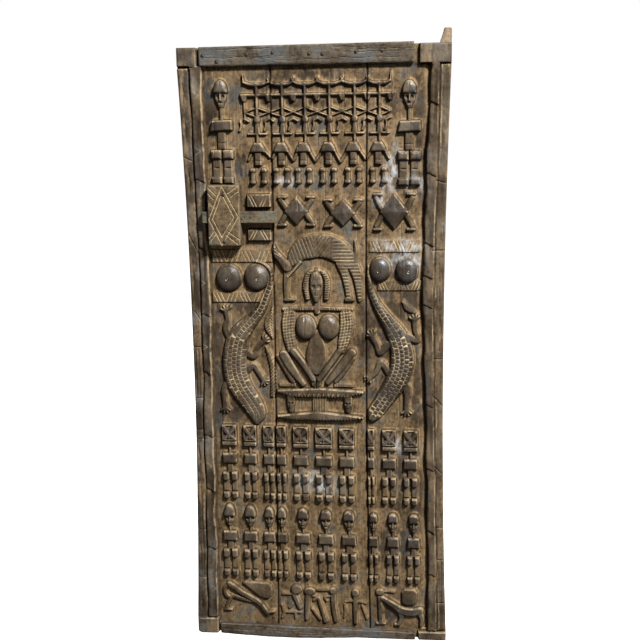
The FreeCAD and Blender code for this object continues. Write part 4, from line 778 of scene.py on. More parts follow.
relief += FOOT_EASE * np.clip(soften(relief, FOOT_REACH) - relief, 0, FOOT_REACH)
relief += sum(height * mottle(seed, wide, long) for height, seed, wide, long in GOUGE_MARKS)
rng = np.random.default_rng(7)
for _ in range(CRACKS):
    x, z = rng.uniform(90, 790), rng.uniform(60, 1900)
    length, sway = rng.uniform(60, 260), rng.uniform(-3, 3, 4)
    crack = [(x + sway[step], z + length * step / 3, CRACK_HALF_WIDTHS[step])
             for step in range(4) if z + length * step / 3 < DOOR_HEIGHT - 10]
    if len(crack) > 1:
        window, inside = bar(flowing(crack))[:2]
        relief[window] -= CRACK_DEPTH * np.clip(inside / 0.9 + 0.6, 0, 1)
for seam in (left_seam(Z), right_seam(Z)):
    gap = np.abs(X - seam)
    relief -= SEAM_DEPTH * np.exp(-(gap / SEAM_SPREAD) ** 2)
for gap in (X - left_edge(Z), right_edge(Z) - X):
    relief -= EDGE_WEAR * np.clip(1 - gap / (7 + 3 * mottle(21, 200, 40)), 0, 1) ** 2
for gap in (Z, DOOR_HEIGHT - Z):
    relief -= END_WEAR * np.clip(1 - gap / END_WEAR_REACH, 0, 1) ** 2

# Wear, dirt and painted light and shade, as fields from 0 to 1: edges rubbed tan and brighter
# on their lit side as a painted highlight, painted shade on the shadowed side of each form, in
# creases, along the seams and under the top batten, patina by height, white dust, a paler rim
# round each form with painted light on its lit side, soot with painted shade in the masks'
# hollows, and the grey wood of the frame with painted light and shade on the right ridge's facets.


def moved(field, right, up):
    """A field read a little way to the right and up."""
    return np.roll(field, (-round(up / GRIT), -round(right / GRIT)), axis=(0, 1))


crest = relief - soften(relief, 2.6)
patchy = np.clip(0.75 + 0.5 * mottle(41, 18, 24) + 0.4 * mottle(42, 6, 8), 0, 1)
uncut = 1 - np.clip(2 * scored, 0, 1)
mass = soften(relief, 1.2)
# Painted highlight: the upper right side of each form, which faces the key lamp, makes its rubbed
# edges brighter.
lit_side = np.clip((mass - moved(mass, 3, 4)) / 6, 0, 1)
worn = np.clip(crest / 3.2, 0, 1) * patchy * (0.45 + 0.75 * lit_side)
# Painted shadow on the lower left side of each form, away from the key lamp.
painted_shadow_side = np.clip((moved(mass, 4, 5) - mass) / 5.5, 0, 1)
painted_lit_side = np.clip((moved(mass, -5, -6) - mass) / 8, 0, 1)
worn = np.maximum(worn, 0.9 * patchy * between
                  * np.exp(-((X - right_step - 4 + 1.5 * wavering) / 2.2) ** 2))
# Painted shade in creases and on the shadowed side of forms, then along the seams and under the top
# batten.
hollow = np.clip(np.maximum(-crest / 2.6, painted_shadow_side), 0, 1) * uncut
for seam in (left_seam(Z), right_seam(Z)):
    hollow = np.maximum(hollow, 1.2 * np.exp(-((X - seam) / 3.2) ** 2))
# The painted shadow of the top batten on the planks below it.
painted_rail_shadow = np.clip(1 - np.abs(Z - CORNER_TOP - 3 * mottle(51, 60, 60)) / 7, 0, 1)
hollow = np.maximum(hollow, painted_rail_shadow * ((X > 66) & (X < 760)))
raised = np.clip(soften(relief, 1.0) / 25, 0, 1)
# A paler rim round each form, with painted light on its upper right side, which faces the key lamp.
pale_rim_and_lit_side = np.maximum(np.clip(soften(relief, 6.0) / 6, 0, 1) * 0.5, painted_lit_side)
pale_rim_and_lit_side = pale_rim_and_lit_side * np.clip(1.3 - relief / 8, 0, 1) * patchy
scored = np.clip(1.35 * soften(scored, 1.2), 0, 1) * np.clip(0.8 + 0.4 * mottle(43, 40, 40), 0.5, 1)
SOOT = ((107, 1790, 24, 120), (675, 1830, 34, 60), (762, 1770, 22, 130), (648, 1060, 40, 80),
        (768, 880, 30, 120), (735, 540, 70, 110), (640, 860, 40, 60), (780, 1560, 20, 90),
        (106, 960, 20, 150), (690, 1260, 80, 60), (585, 1060, 20, 100), (700, 100, 70, 50),
        (690, 330, 80, 60), (190, 1620, 30, 60), (140, 790, 50, 40), (330, 1860, 70, 30),
        (180, 1150, 90, 26), (760, 1180, 30, 70), (720, 1150, 40, 40),
        (430, 1870, 230, 34), (400, 1800, 150, 60))
soot_and_shade = sum(np.exp(-((X - x) / wide) ** 2 - ((Z - z) / tall) ** 2) for x, z, wide, tall in SOOT)
soot_and_shade = np.clip(soot_and_shade * (0.9 + 0.9 * mottle(61, 24, 60) + 0.8 * mottle(62, 7, 14)), 0, 1)
# Darkened forms join the soot; in the masks' hollows this is painted shade.
soot_and_shade = np.maximum(soot_and_shade, dark * uncut * np.clip(0.9 + 0.4 * mottle(63, 14, 20), 0, 1))
frame_wood = np.clip(np.maximum(left_inner + 2 - X, X - right_inner + 2) / 3, 0, 1)
frame_wood *= 1 - 0.65 * np.exp(-((X - right_step + 12) / 11) ** 2)
# The grey tone on the right ridge rises and falls from crease to crease with the lean of its
# scoops, toward the key lamp or away from it: painted light and shade on the facets.
by_turns = [number % 2 for number in range(len(RIGHT_CREASES))]
lit_facet = np.interp(Z - CREASE_LEAN * np.abs(X - (right_step + right_inner) / 2),
                  RIGHT_CREASES, by_turns)
frame_wood *= np.where(X > right_step, 0.5, np.where(X > right_inner, 0.2 + 0.8 * lit_facet, 1))
soot_and_shade = np.maximum(soot_and_shade, 0.8 * np.clip(3 * mottle(71, 14, 110) - 0.9, 0, 1) * frame_wood)
frame_wood *= 1 - 0.8 * np.clip(3 * mottle(72, 15, 90) - 0.6, 0, 1)
CHALK = ((681, 1610, 14, 60), (664, 1560, 22, 40), (752, 1552, 24, 30), (722, 1300, 56, 26),
         (726, 1262, 26, 26), (400, 566, 60, 30), (700, 1352, 80, 22), (690, 690, 40, 26),
         (640, 1500, 22, 20), (455, 535, 40, 26), (345, 1560, 40, 16))
chalk = np.zeros_like(X)
for x, z, half_width, half_height in CHALK:
    chalk += np.exp(-((X - x) / half_width) ** 2 - ((Z - z) / half_height) ** 2)
broken = 0.35 + 0.7 * mottle(31, 12, 18) + 0.6 * mottle(32, 4, 7)
chalk = np.clip(chalk * np.clip(broken, 0, 1) * 0.8 * np.clip(1.4 - relief / 14, 0.15, 1), 0, 1)


# Planks: each board is a fine grid that takes its heights, its wear and its painted light and shade
# from the fields.
# Its long edges follow the door's edges and the seams, and its back is adzed.
MM = 0.001
door_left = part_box("plank_left")[0].x
door_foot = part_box("plank_left")[0].z
back_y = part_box("plank_left")[1].y / MM
GROUND_THICKNESS = 27.0
ground_y = back_y - GROUND_THICKNESS


def sample(field, x, z):
    """A field's value between its samples."""
    place_x = np.clip(x / GRIT, 0, field.shape[1] - 1.001)
    place_z = np.clip(z / GRIT, 0, field.shape[0] - 1.001)
    j, i = place_x.astype(int), place_z.astype(int)
    tx, tz = place_x - j, place_z - i
    low = field[i, j] * (1 - tx) + field[i, j + 1] * tx
    high = field[i + 1, j] * (1 - tx) + field[i + 1, j + 1] * tx
    return low * (1 - tz) + high * tz


def meshed(name, bm):
    """A mesh made of finished bmesh work."""
    mesh = bpy.data.meshes.new(name)
    bm.to_mesh(mesh)
    bm.free()
    return mesh


def board_mesh(name, across, up, back_cells):
    """A slab of unit size: a fine grid for its face, plain sides and a coarsely cut back.
    Its first two axes run 0 to 1 over the face, and the third from 0 at the face to 1."""
    bm = bmesh.new()
    bmesh.ops.create_grid(bm, x_segments=across, y_segments=up, size=0.5)
    bmesh.ops.translate(bm, vec=(0.5, 0.5, 0), verts=bm.verts)
    rim = [edge for edge in bm.edges if edge.is_boundary]
    for _ in range(DEPTH_STEPS):
        grown = bmesh.ops.extrude_edge_only(bm, edges=rim)["geom"]
        fresh = [part for part in grown if isinstance(part, bmesh.types.BMVert)]
        rim = [part for part in grown if isinstance(part, bmesh.types.BMEdge)
               and part.is_boundary]
        bmesh.ops.translate(bm, vec=(0, 0, 1 / DEPTH_STEPS), verts=fresh)
    back = bmesh.ops.edgeloop_fill(bm, edges=rim)["faces"]
    for axis, count in enumerate(back_cells):
        for cut in range(1, count):
            normal = [0.0, 0.0, 0.0]
            normal[axis] = 1.0
            spot = [0.0, 0.0, 1.0]
            spot[axis] = (cut + 0.37) / (count + 0.5)
            parts = set(back)
            parts |= {edge for face_ in back for edge in face_.edges}
            parts |= {vert for face_ in back for vert in face_.verts}
            bmesh.ops.bisect_plane(bm, geom=list(parts), plane_co=spot, plane_no=normal,
                                   dist=1e-7)
            back = [face_ for face_ in bm.faces if face_.calc_center_median().z > 0.9999]
    bmesh.ops.recalc_face_normals(bm, faces=bm.faces)
    return meshed(name, bm)


def coordinates(mesh):
    """A mesh's points as rows of three numbers."""
    flat = np.empty(len(mesh.vertices) * 3, np.float64)
    mesh.vertices.foreach_get("co", flat)
    return flat.reshape(-1, 3)


def put(mesh, points):
    """Move a mesh's points."""
    mesh.vertices.foreach_set("co", np.ascontiguousarray(points, np.float32).ravel())
    mesh.update()


def thin(thing, triangles):
    """Collapse a mesh to so many triangles, most of them left where it is carved."""
    now = sum(len(polygon.vertices) - 2 for polygon in thing.data.polygons)
    if now <= triangles:
        return
    modifier = thing.modifiers.new("thin", "DECIMATE")
    modifier.ratio = triangles / now
    depsgraph = bpy.context.evaluated_depsgraph_get()
    thinned = bpy.data.meshes.new_from_object(thing.evaluated_get(depsgraph))
    thing.modifiers.clear()
    thing.data = thinned


def attribute(mesh, name, values):
    """Keep one number for each point of a mesh."""
    layer = mesh.attributes.get(name) or mesh.attributes.new(name, "FLOAT", "POINT")
    layer.data.foreach_set("value", np.ascontiguousarray(values, np.float32))


def finish_mesh(mesh, degrees):
    """Shade a mesh smooth, except across edges that turn by more than an angle."""
    mesh.shade_smooth()
    mesh.set_sharp_from_angle(angle=math.radians(degrees))


ADZE_WIDE, ADZE_LONG, ADZE_DEEP = 34.0, 70.0, 1.6


def adzed(x, z):
    """Shallow overlapping scoops left by an adze on a rough face."""
    lane = np.floor(x / ADZE_WIDE)
    shift = np.mod(lane * 0.37, 1) * ADZE_LONG
    u = np.mod(x / ADZE_WIDE, 1) - 0.5
    v = np.mod((z + shift + 6 * np.sin(x / 9)) / ADZE_LONG, 1)
    return ADZE_DEEP * (1 - 2 * np.abs(u)) * (0.4 + 0.6 * v)


FIELDS_TO_PAINT = (("worn", worn), ("hollow", hollow), ("raised", raised), ("chalk", chalk),
                   ("pale_rim_and_lit_side", pale_rim_and_lit_side), ("scored", scored), ("frame_wood", frame_wood),
                   ("soot_and_shade", soot_and_shade))
CELL = 1.5
PLANK_TRIANGLES = 190000
SEAM_CURVE, HEWN_CURVE = 3.0, 1.1
DEPTH_STEPS, PLANK_BACK, BOARD_BACK = 4, (14, 66), (6, 4)


def linked(name, data):
    """A new object in the scene."""
    thing = bpy.data.objects.new(name, data)
    bpy.context.scene.collection.objects.link(thing)
    return thing


def plank(name, left, right, left_joined, right_joined):
    """One plank between two edge lines: carved face, hewn edges and an adzed back. Joined
    edges curve the same way, so that no light comes through the seam."""
    width = right(DOOR_HEIGHT / 2) - left(DOOR_HEIGHT / 2)
    mesh = board_mesh(name, int(width / CELL), int(DOOR_HEIGHT / CELL), PLANK_BACK)
    unit = coordinates(mesh)
    z = unit[:, 1] * DOOR_HEIGHT
    x = left(z) + unit[:, 0] * (right(z) - left(z))
    front = ground_y - sample(relief, x, z)
    y = front + unit[:, 2] * (back_y - front)
    at_back = unit[:, 2] > 0.9999
    inner = (unit[:, 0] > 1e-4) & (unit[:, 0] < 1 - 1e-4)
    y = np.where(at_back & inner, y - adzed(x, z), y)
    side = (unit[:, 2] > 0.01) & ~at_back & ~inner
    swell = 0.6 + 0.4 * np.sin(z / 13 + 3 * unit[:, 2])
    hewn = np.where(unit[:, 0] < 0.5, 1, -1) * HEWN_CURVE * swell
    joined = np.where(unit[:, 0] < 0.5, left_joined, right_joined)
    push = np.where(joined, SEAM_CURVE, hewn)
    x = np.where(side, x + push * np.sin(np.pi * unit[:, 2]), x)
    put(mesh, np.stack([door_left + x * MM, y * MM, door_foot + z * MM], 1))
    thing = linked(name, mesh)
    thin(thing, PLANK_TRIANGLES)
    mesh = thing.data
    points = coordinates(mesh) / MM
    x, z = points[:, 0] - door_left / MM, points[:, 2] - door_foot / MM
    face_share = np.clip(1 - (points[:, 1] - (ground_y - sample(relief, x, z))) / 3, 0, 1)
    for label, field in FIELDS_TO_PAINT:
        attribute(mesh, label, sample(field, x, z) * face_share)
    finish_mesh(mesh, 60)
    return thing


plank_left = plank("carved_plank_left", left_edge,
                   lambda z: left_seam(z) - SEAM_GAP / 2, False, True)
plank_centre = plank("carved_plank_centre", lambda z: left_seam(z) + SEAM_GAP / 2,
                     lambda z: right_seam(z) - SEAM_GAP / 2, True, True)
plank_right = plank("carved_plank_right", lambda z: right_seam(z) + SEAM_GAP / 2,
                    right_edge, True, False)

# Pintles: the two pegs that the door turns on, one at each end of the right plank and in
# one piece with it. The journal is round and its root slopes out on the leaf's side.
PINTLE_RADIUS, PINTLE_LENGTH, PINTLE_SIDES = 12.0, 45.0, 32
ROOT_HEIGHT, ROOT_WIDTH, ROOT_DEPTH, SINK = 19.0, 36.0, 34.0, 12.0


def paint(mesh, **shares):
    """Set the wear, dirt and painted light and shade of a plain piece. What isn't named is 0."""
    for label, _ in FIELDS_TO_PAINT:
        attribute(mesh, label, np.zeros(len(mesh.vertices)) + shares.get(label, 0.0))


def pintle(name, upward):
    """A round journal lofted from a square root, worn at its end."""
    bm = bmesh.new()
    bmesh.ops.create_circle(bm, segments=PINTLE_SIDES, radius=1)
    sections = ((-SINK, 1.0, 0.0), (0.0, 1.0, 0.0), (ROOT_HEIGHT * 0.5, 0.85, 0.0),
                (ROOT_HEIGHT, 0.55, 0.0), (ROOT_HEIGHT + 12, 0.22, 0.0),
                (PINTLE_LENGTH - 3, 0.0, 0.3), (PINTLE_LENGTH, 0.0, 2.4))
    ring = list(bm.edges)
    for number, (height, square, shrink) in enumerate(sections):
        if number:
            grown = bmesh.ops.extrude_edge_only(bm, edges=ring)["geom"]
            ring = [part for part in grown if isinstance(part, bmesh.types.BMEdge)
                    and part.is_boundary]
        for vert in {vert for edge in ring for vert in edge.verts}:
            turn = math.atan2(vert.co.y, vert.co.x)
            c, s = math.cos(turn), math.sin(turn)
            reach = PINTLE_RADIUS - shrink
            round_x, round_y = reach * c, reach * s
            corner = max(abs(c), abs(s))
            square_x = c / corner * ROOT_WIDTH / 2 - (ROOT_WIDTH / 2 - PINTLE_RADIUS)
            square_y = s / corner * ROOT_DEPTH / 2
            vert.co = (round_x + (square_x - round_x) * square,
                       round_y + (square_y - round_y) * square, height)
    bmesh.ops.edgeloop_fill(bm, edges=ring)
    first = [edge for edge in bm.edges if edge.is_boundary]
    bmesh.ops.edgeloop_fill(bm, edges=first)
    if not upward:
        bmesh.ops.scale(bm, vec=(1, 1, -1), verts=bm.verts)
    lift = door_foot / MM + (DOOR_HEIGHT if upward else 0.0)
    bmesh.ops.translate(bm, vec=(0, 0, lift), verts=bm.verts)
    bmesh.ops.scale(bm, vec=(MM, MM, MM), verts=bm.verts)
    bmesh.ops.recalc_face_normals(bm, faces=bm.faces)
    mesh = meshed(name, bm)
    paint(mesh, worn=0.35, raised=0.3, frame_wood=1.0)
    finish_mesh(mesh, 40)
    return linked(name, mesh)


pintle_upper, pintle_lower = pintle("pintle_upper", True), pintle("pintle_lower", False)


# Old hardwood, oiled by hands and weathered outdoors: brown with grey bleached streaks, tan
# where edges are rubbed and brighter on their lit side as a painted highlight, with painted
# shade in the cuts and under ledges. Its fibres are drawn 3 mm apart, coarser than real ones,
# so that they show. Streaks, patches and flecks are so many to a metre.
FIBRE_ACROSS, FIBRE_ALONG = 0.003, 0.06
STREAKS_ALONG, STREAKS_ACROSS, PATCHES, FLECKS = 6, 26, 11.0, 95.0


def linear(code):
    """A linear colour from an sRGB hex value."""
    parts = [int(code[at:at + 2], 16) / 255 for at in (1, 3, 5)]
    return (*[part / 12.92 if part <= 0.04045 else ((part + 0.055) / 1.055) ** 2.4
              for part in parts], 1.0)


def add(tree, kind, links=None, **settings):
    """Add a node with its settings, and its inputs as values or other nodes' outputs."""
    made = tree.nodes.new(kind)
    for key, value in settings.items():
        setattr(made, key, value)
    for key, value in (links or {}).items():
        if isinstance(value, bpy.types.NodeSocket):
            tree.links.new(value, made.inputs[key])
        else:
            made.inputs[key].default_value = value
    return made


def ramp(tree, factor, *stops):
    """A colour ramp. Each stop is a place and a colour or a grey."""
    made = add(tree, "ShaderNodeValToRGB", {"Fac": factor})
    elements = made.color_ramp.elements
    while len(elements) < len(stops):
        elements.new(0.5)
    for element, (place, value) in zip(elements, stops):
        element.position = place
        element.color = linear(value) if isinstance(value, str) else (value,) * 3 + (1,)
    return made.outputs["Color"]


def blend(tree, factor, first, second, mode="MIX"):
    """Two colours mixed."""
    made = add(tree, "ShaderNodeMix", {"Factor": factor}, data_type="RGBA", blend_type=mode)
    for socket, value in ((made.inputs[6], first), (made.inputs[7], second)):
        if isinstance(value, bpy.types.NodeSocket):
            tree.links.new(value, socket)
        else:
            socket.default_value = value
    return made.outputs[2]


def noise(tree, place, scale, roughness, detail=5.0):
    """A noise texture's grey."""
    return add(tree, "ShaderNodeTexNoise", {"Vector": place, "Scale": scale, "Detail": detail,
                                            "Roughness": roughness}).outputs["Fac"]


def bare_tree(owner):
    """The emptied node tree of a material or a world."""
    owner.use_nodes = True
    owner.node_tree.nodes.clear()
    return owner.node_tree


def old_wood(name, grain, brown, grey, tan, dark, grey_share, carved):
    """Weathered wood. grain is the direction of its fibres, as the axis that is slow."""
    material = bpy.data.materials.new(name)
    tree = bare_tree(material)
    own = add(tree, "ShaderNodeTexCoord")
    place = own.outputs["Object"]
    grained = []
    for along, across in ((1 / FIBRE_ALONG, 1 / FIBRE_ACROSS), (STREAKS_ALONG, STREAKS_ACROSS)):
        drawn = add(tree, "ShaderNodeMapping", {
            "Vector": place, "Scale": [along if axis == grain else across for axis in range(3)]})
        grained.append(noise(tree, drawn.outputs["Vector"], 1.0, 0.6, 4.0))
    fibre, streak = grained
    patch = noise(tree, place, PATCHES, 0.65)
    fleck = noise(tree, place, FLECKS, 0.7)
    tone = blend(tree, 0.5, blend(tree, 0.6, fibre, fleck), patch)
    colour = ramp(tree, tone, (0.37, dark), (0.45, brown[0]), (0.54, brown[1]), (0.62, tan))
    grizzle = ramp(tree, fibre, (0.3, grey[0]), (0.7, grey[1]))
    bleached = ramp(tree, patch, (0.56 - grey_share * 0.2, 0.0), (0.70 - grey_share * 0.2, 0.9))
    colour = blend(tree, bleached, colour, grizzle)
    banded = ramp(tree, streak, (0.32, 0.5), (0.58, 1.0))
    colour = blend(tree, 0.7, colour, banded, "MULTIPLY")
    gloss, sheen = 0.62, 0.25
    if carved:
        reads = {label: add(tree, "ShaderNodeAttribute", attribute_name=label).outputs["Fac"]
                 for label, _ in FIELDS_TO_PAINT}
        slate = ramp(tree, patch, (0.40, "#1c150f"), (0.50, "#37352f"), (0.60, "#616360"))
        chip = ramp(tree, fleck, (0.35, "#4f3c27"), (0.6, "#836545"))
        slate = blend(tree, ramp(tree, blend(tree, 0.6, patch, streak), (0.50, 0.0), (0.56, 0.8)),
                      slate, chip)
        # Grey frame wood, which also carries painted light and shade on the right ridge's facets.
        colour = blend(tree, reads["frame_wood"], colour, slate)
        patina = ramp(tree, blend(tree, 0.5, patch, streak), (0.38, "#20190f"), (0.47, "#352a1d"),
                      (0.55, "#473e2f"), (0.64, "#5c4c36"))
        colour = blend(tree, ramp(tree, reads["raised"], (0.08, 0.0), (0.45, 0.75)), colour,
                       patina)
        # Soot, and painted shade in the masks' hollows.
        sooty = ramp(tree, patch, (0.35, "#1c150f"), (0.5, "#2b231a"), (0.62, "#2c2b28"))
        colour = blend(tree, ramp(tree, reads["soot_and_shade"], (0.1, 0.0), (0.6, 0.85)), colour, sooty)
        # A paler rim round the forms, with painted light on their upper right side.
        rim_and_lit_tan = ramp(tree, fibre, (0.3, "#7b6141"), (0.65, "#99805a"))
        ring = add(tree, "ShaderNodeMath", {0: reads["pale_rim_and_lit_side"], 1: 0.75}, operation="MULTIPLY")
        colour = blend(tree, ring.outputs[0], colour, rim_and_lit_tan)
        # Rubbed tan edges, brighter on their lit side as a painted highlight.
        rubbed_and_lit = ramp(tree, fibre, (0.3, "#857256"), (0.65, "#a89676"))
        colour = blend(tree, ramp(tree, reads["worn"], (0.2, 0.0), (0.9, 0.6)), colour, rubbed_and_lit)
        # Painted shade in creases, seams and deep cuts, on the shadowed side of forms and under the
        # top batten.
        painted_shade_share = ramp(tree, reads["hollow"], (0.25, 0.0), (0.85, 0.85))
        colour = blend(tree, painted_shade_share, colour, linear("#1f150d"))
        cut = ramp(tree, reads["scored"], (0.2, 0.0), (0.75, 0.85))
        colour = blend(tree, cut, colour, linear("#a8936d"))
        dusted = blend(tree, 0.5, grizzle, linear("#c9ccca"))
        colour = blend(tree, reads["chalk"], colour, dusted)
        gloss = ramp(tree, reads["raised"], (0.1, 0.7), (0.5, 0.5), (0.82, 0.45), (0.97, 0.27))
        sheen = ramp(tree, reads["raised"], (0.1, 0.1), (0.6, 0.2), (1.0, 0.6))
    stained = ramp(tree, fleck, (0.34, 0.35), (0.48, 1.0), (0.62, 1.0), (0.74, 1.5))
    colour = blend(tree, 0.55, colour, stained, "MULTIPLY")
    # Painted shade on faces that turn downward, under every ledge.
    turned = add(tree, "ShaderNodeSeparateXYZ", {"Vector": own.outputs["Normal"]})
    down = add(tree, "ShaderNodeMath", {0: turned.outputs["Z"], 1: -1.0}, operation="MULTIPLY")
    painted_underside_shade = ramp(tree, down.outputs[0], (0.2, 1.0), (0.9, 0.35))
    colour = blend(tree, 1.0, colour, painted_underside_shade, "MULTIPLY")
    dented = add(tree, "ShaderNodeBump", {"Height": fleck, "Strength": 0.5, "Distance": 0.0022})
    relief_node = add(tree, "ShaderNodeBump", {
        "Height": fibre, "Strength": 0.35, "Distance": 0.0012, "Normal": dented.outputs["Normal"]})
    surface = add(tree, "ShaderNodeBsdfPrincipled", {
        "Base Color": colour, "Roughness": gloss, "Specular IOR Level": sheen,
        "Normal": relief_node.outputs["Normal"]})
    add(tree, "ShaderNodeOutputMaterial", {"Surface": surface.outputs[0]})
    return material


carved_wood = old_wood("carved_hardwood", 2, ("#4e3f2a", "#69553b"), ("#2e2f2c", "#4c4c46"),
                       "#7e6a4b", "#281f15", 0.28, True)
for thing, node in ((plank_left, "plank_left"), (plank_centre, "plank_centre"),
                    (plank_right, "plank_right"), (pintle_upper, "plank_right"),
                    (pintle_lower, "plank_right")):
    thing.data.materials.append(carved_wood)
    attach(thing, "door")
    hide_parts(node)


# Battens: two thick strips nailed across the ends of the planks. They are plain, grey and
# split along the grain, with blunt worn edges and dented faces.
EDGE_ROUND, EDGE_ROUND_REACH = 3.2, 6
SPLIT_DEPTH, SPLIT_HALF = 2.4, 1.6


def strip(name, corners, thickness, cell, seed, crack_count, face_cut=None, grain_along=True,
          lined=False, belly=0.0):
    """A board through four corners (left foot, right foot, right head, left head), lying
    on the ground. face_cut gives how far its face is cut in, in light lines if lined."""
    (x0, z0), (x1, z1), (x2, z2), (x3, z3) = corners
    across, up = int((x1 - x0) / cell), max(int((z3 - z0) / cell), 6)
    mesh = board_mesh(name, across, up, BOARD_BACK)
    unit = coordinates(mesh)
    u, v, w = unit.T
    x = (x0 + (x1 - x0) * u) * (1 - v) + (x3 + (x2 - x3) * u) * v
    z = (z0 + (z1 - z0) * u) * (1 - v) + (z3 + (z2 - z3) * u) * v
    z -= belly * (1 - v) * np.sin(np.pi * np.clip(u / 0.7, 0, 1))
    rng = np.random.default_rng(seed)
    wave = sum(rng.uniform(0.2, 0.7) * np.sin(x * rng.uniform(0.01, 0.08)
                                              + z * rng.uniform(0.02, 0.12) + rng.uniform(0, 6))
               for _ in range(7))
    cut = 0.5 * wave + 1.0
    length, height = x1 - x0, z3 - z0
    for gap in (u * length, (1 - u) * length, v * height, (1 - v) * height):
        cut += EDGE_ROUND * np.clip(1 - gap / EDGE_ROUND_REACH, 0, 1) ** 2
    for _ in range(crack_count):
        start, long, line = rng.uniform(0, 0.9), rng.uniform(0.08, 0.35), rng.uniform(0.1, 0.9)
        if grain_along:
            reach = (u > start) & (u < start + long)
            gap = np.abs(v - line - 0.03 * np.sin(u * 40)) * height
        else:
            reach = (v > start) & (v < start + long)
            gap = np.abs(u - (line + 0.02 * np.sin(v * 14))) * length
        cut += np.where(reach, SPLIT_DEPTH * np.clip(1 - gap / SPLIT_HALF, 0, 1), 0)
    if face_cut is not None:
        cut += face_cut(x, z)
    front = ground_y - thickness + cut
    y = front + w * (ground_y - front)
    edge = (w > 0.01) & (w < 0.99)
    z = np.where(edge & (v < 1e-4), z + 1.2 * (1 + np.sin(x / 17)), z)
    z = np.where(edge & (v > 1 - 1e-4), z - 1.2 * (1 + np.sin(x / 23)), z)
    put(mesh, np.stack([door_left + x * MM, y * MM, door_foot + z * MM], 1))
    depth = cut - cut.min()
    at_face = w < 0.01
    lines = face_cut(x, z) if lined else np.zeros_like(x)
    # Deep dents and splits get painted shade, unless the face is lined; shallower ones get a rubbed
    # tan ring.
    paint(mesh, raised=0.15, scored=np.clip(lines / 2.6, 0, 0.62) * at_face,
          worn=np.clip(1 - depth / 1.2, 0, 1) * 0.2 + 0.5 * ((depth > 2) & (depth < 4) & at_face),
          hollow=np.clip((depth - 3.2) / 2, 0, 1) * at_face * (1 - lined))
    finish_mesh(mesh, 50)
    return linked(name, mesh)


RAIL_THICKNESS, BELLY = 21.0, 9.0
DENT_DEPTH, DENT_RADIUS = 2.2, 9
TOP_NAILS = ((86, 1956), (130, 1935), (225, 1955), (307, 1959), (421, 1954), (463, 1953),
             (567, 1957), (647, 1959))


def nail_dents(x, z):
    """Sunk rings where the nails were driven; where they cut deep they get painted shade."""
    cut = np.zeros_like(x)
    for nail_x, nail_z in TOP_NAILS:
        cut += DENT_DEPTH * np.clip(1 - np.hypot(x - nail_x, z - nail_z) / DENT_RADIUS, 0, 1)
    return cut


top_rail = strip("batten_top", ((73, 1922), (745, 1924), (745, 1985.5), (73, 1981)),
                 RAIL_THICKNESS, CELL * 1.4, 3, 12, nail_dents)
bottom_rail = strip("batten_bottom", ((82, 2), (755, 0), (755, 26), (82, 40)),
                    RAIL_THICKNESS, CELL * 1.4, 5, 8, belly=BELLY)
batten_wood = old_wood("grey_batten_wood", 0, ("#3d3429", "#53493a"), ("#343738", "#4d5050"),
                       "#6f6148", "#1e1712", 0.45, True)
for thing, node in ((top_rail, "top_rail"), (bottom_rail, "bottom_rail")):
    thing.data.materials.append(batten_wood)
    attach(thing, "door")
    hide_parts(node)

# Lock case: a block of close-grained wood, nailed on through its middle. Its face is cut
# with two nested diamonds and short slanting lines at the corners.
CASE_LEFT, CASE_FOOT, CASE_WIDTH, CASE_HEIGHT, CASE_DEPTH = 93.0, 1361.0, 103.0, 193.0, 55.0
LINE_WIDTH, LINE_DEPTH = 4.4, 3.2
case_right, case_top = CASE_LEFT + CASE_WIDTH, CASE_FOOT + CASE_HEIGHT
case_middle, case_rise = CASE_LEFT + CASE_WIDTH / 2, CASE_FOOT + CASE_HEIGHT / 2
CASE_LINES = (
    ((-4, 93), (47, -4)), ((47, -4), (-8, -94)), ((-8, -94), (-48, -12)),
    ((-48, -12), (-4, 93)), ((-36, -10), (-8, -68)), ((-8, -68), (33, -5)),
    ((33, -5), (-4, 68)), ((-4, 68), (-36, -10)), ((12, -50), (48, -76)),
    ((6, -62), (44, -92)), ((-48, -70), (-34, -52)), ((-48, -86), (-27, -60)),
    ((22, 58), (48, 76)), ((14, 70), (46, 92)), ((-48, 70), (-32, 52)), ((-48, 88), (-24, 64)))


def case_cuts(x, z):
    """The V lines in the face of the case, which run about its middle."""
    total = np.zeros_like(x)
    for (x0, z0), (x1, z1) in CASE_LINES:
        length = math.hypot(x1 - x0, z1 - z0)
        dx, dz = (x1 - x0) / length, (z1 - z0) / length
        step = np.clip((x - case_middle - x0) * dx + (z - case_rise - z0) * dz, 0, length)
        gap = np.hypot(x - case_middle - x0 - step * dx, z - case_rise - z0 - step * dz)
        total = np.maximum(total, LINE_DEPTH * np.clip(1 - gap / (LINE_WIDTH / 2), 0, 1))
    return total


lock_case = strip("lock_case_carved", ((CASE_LEFT, CASE_FOOT), (case_right, CASE_FOOT),
                                       (case_right, case_top), (CASE_LEFT, case_top)),
                  CASE_DEPTH, CELL, 9, 5, case_cuts, grain_along=False, lined=True)
lock_wood = old_wood("handled_lock_wood", 2, ("#4a3d2a", "#604f38"), ("#444037", "#59564c"),
                     "#7b6849", "#281e14", 0.25, True)
lock_case.data.materials.append(lock_wood)
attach(lock_case, "door")
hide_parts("lock_case")

# Bolt: a square bar that slides through the case, rubbed smooth, with rounded corners. Its
# top has the three holes that the tumblers drop into, and its right end the key's slot.
bolt_wood = old_wood("handled_bolt_wood", 0, ("#443a2b", "#594f3b"), ("#3f3e36", "#555346"),
                     "#6d6148", "#241c13", 0.35, False)
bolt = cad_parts["lock_bolt"]
bolt.data.materials.clear()
bolt.data.materials.append(bolt_wood)


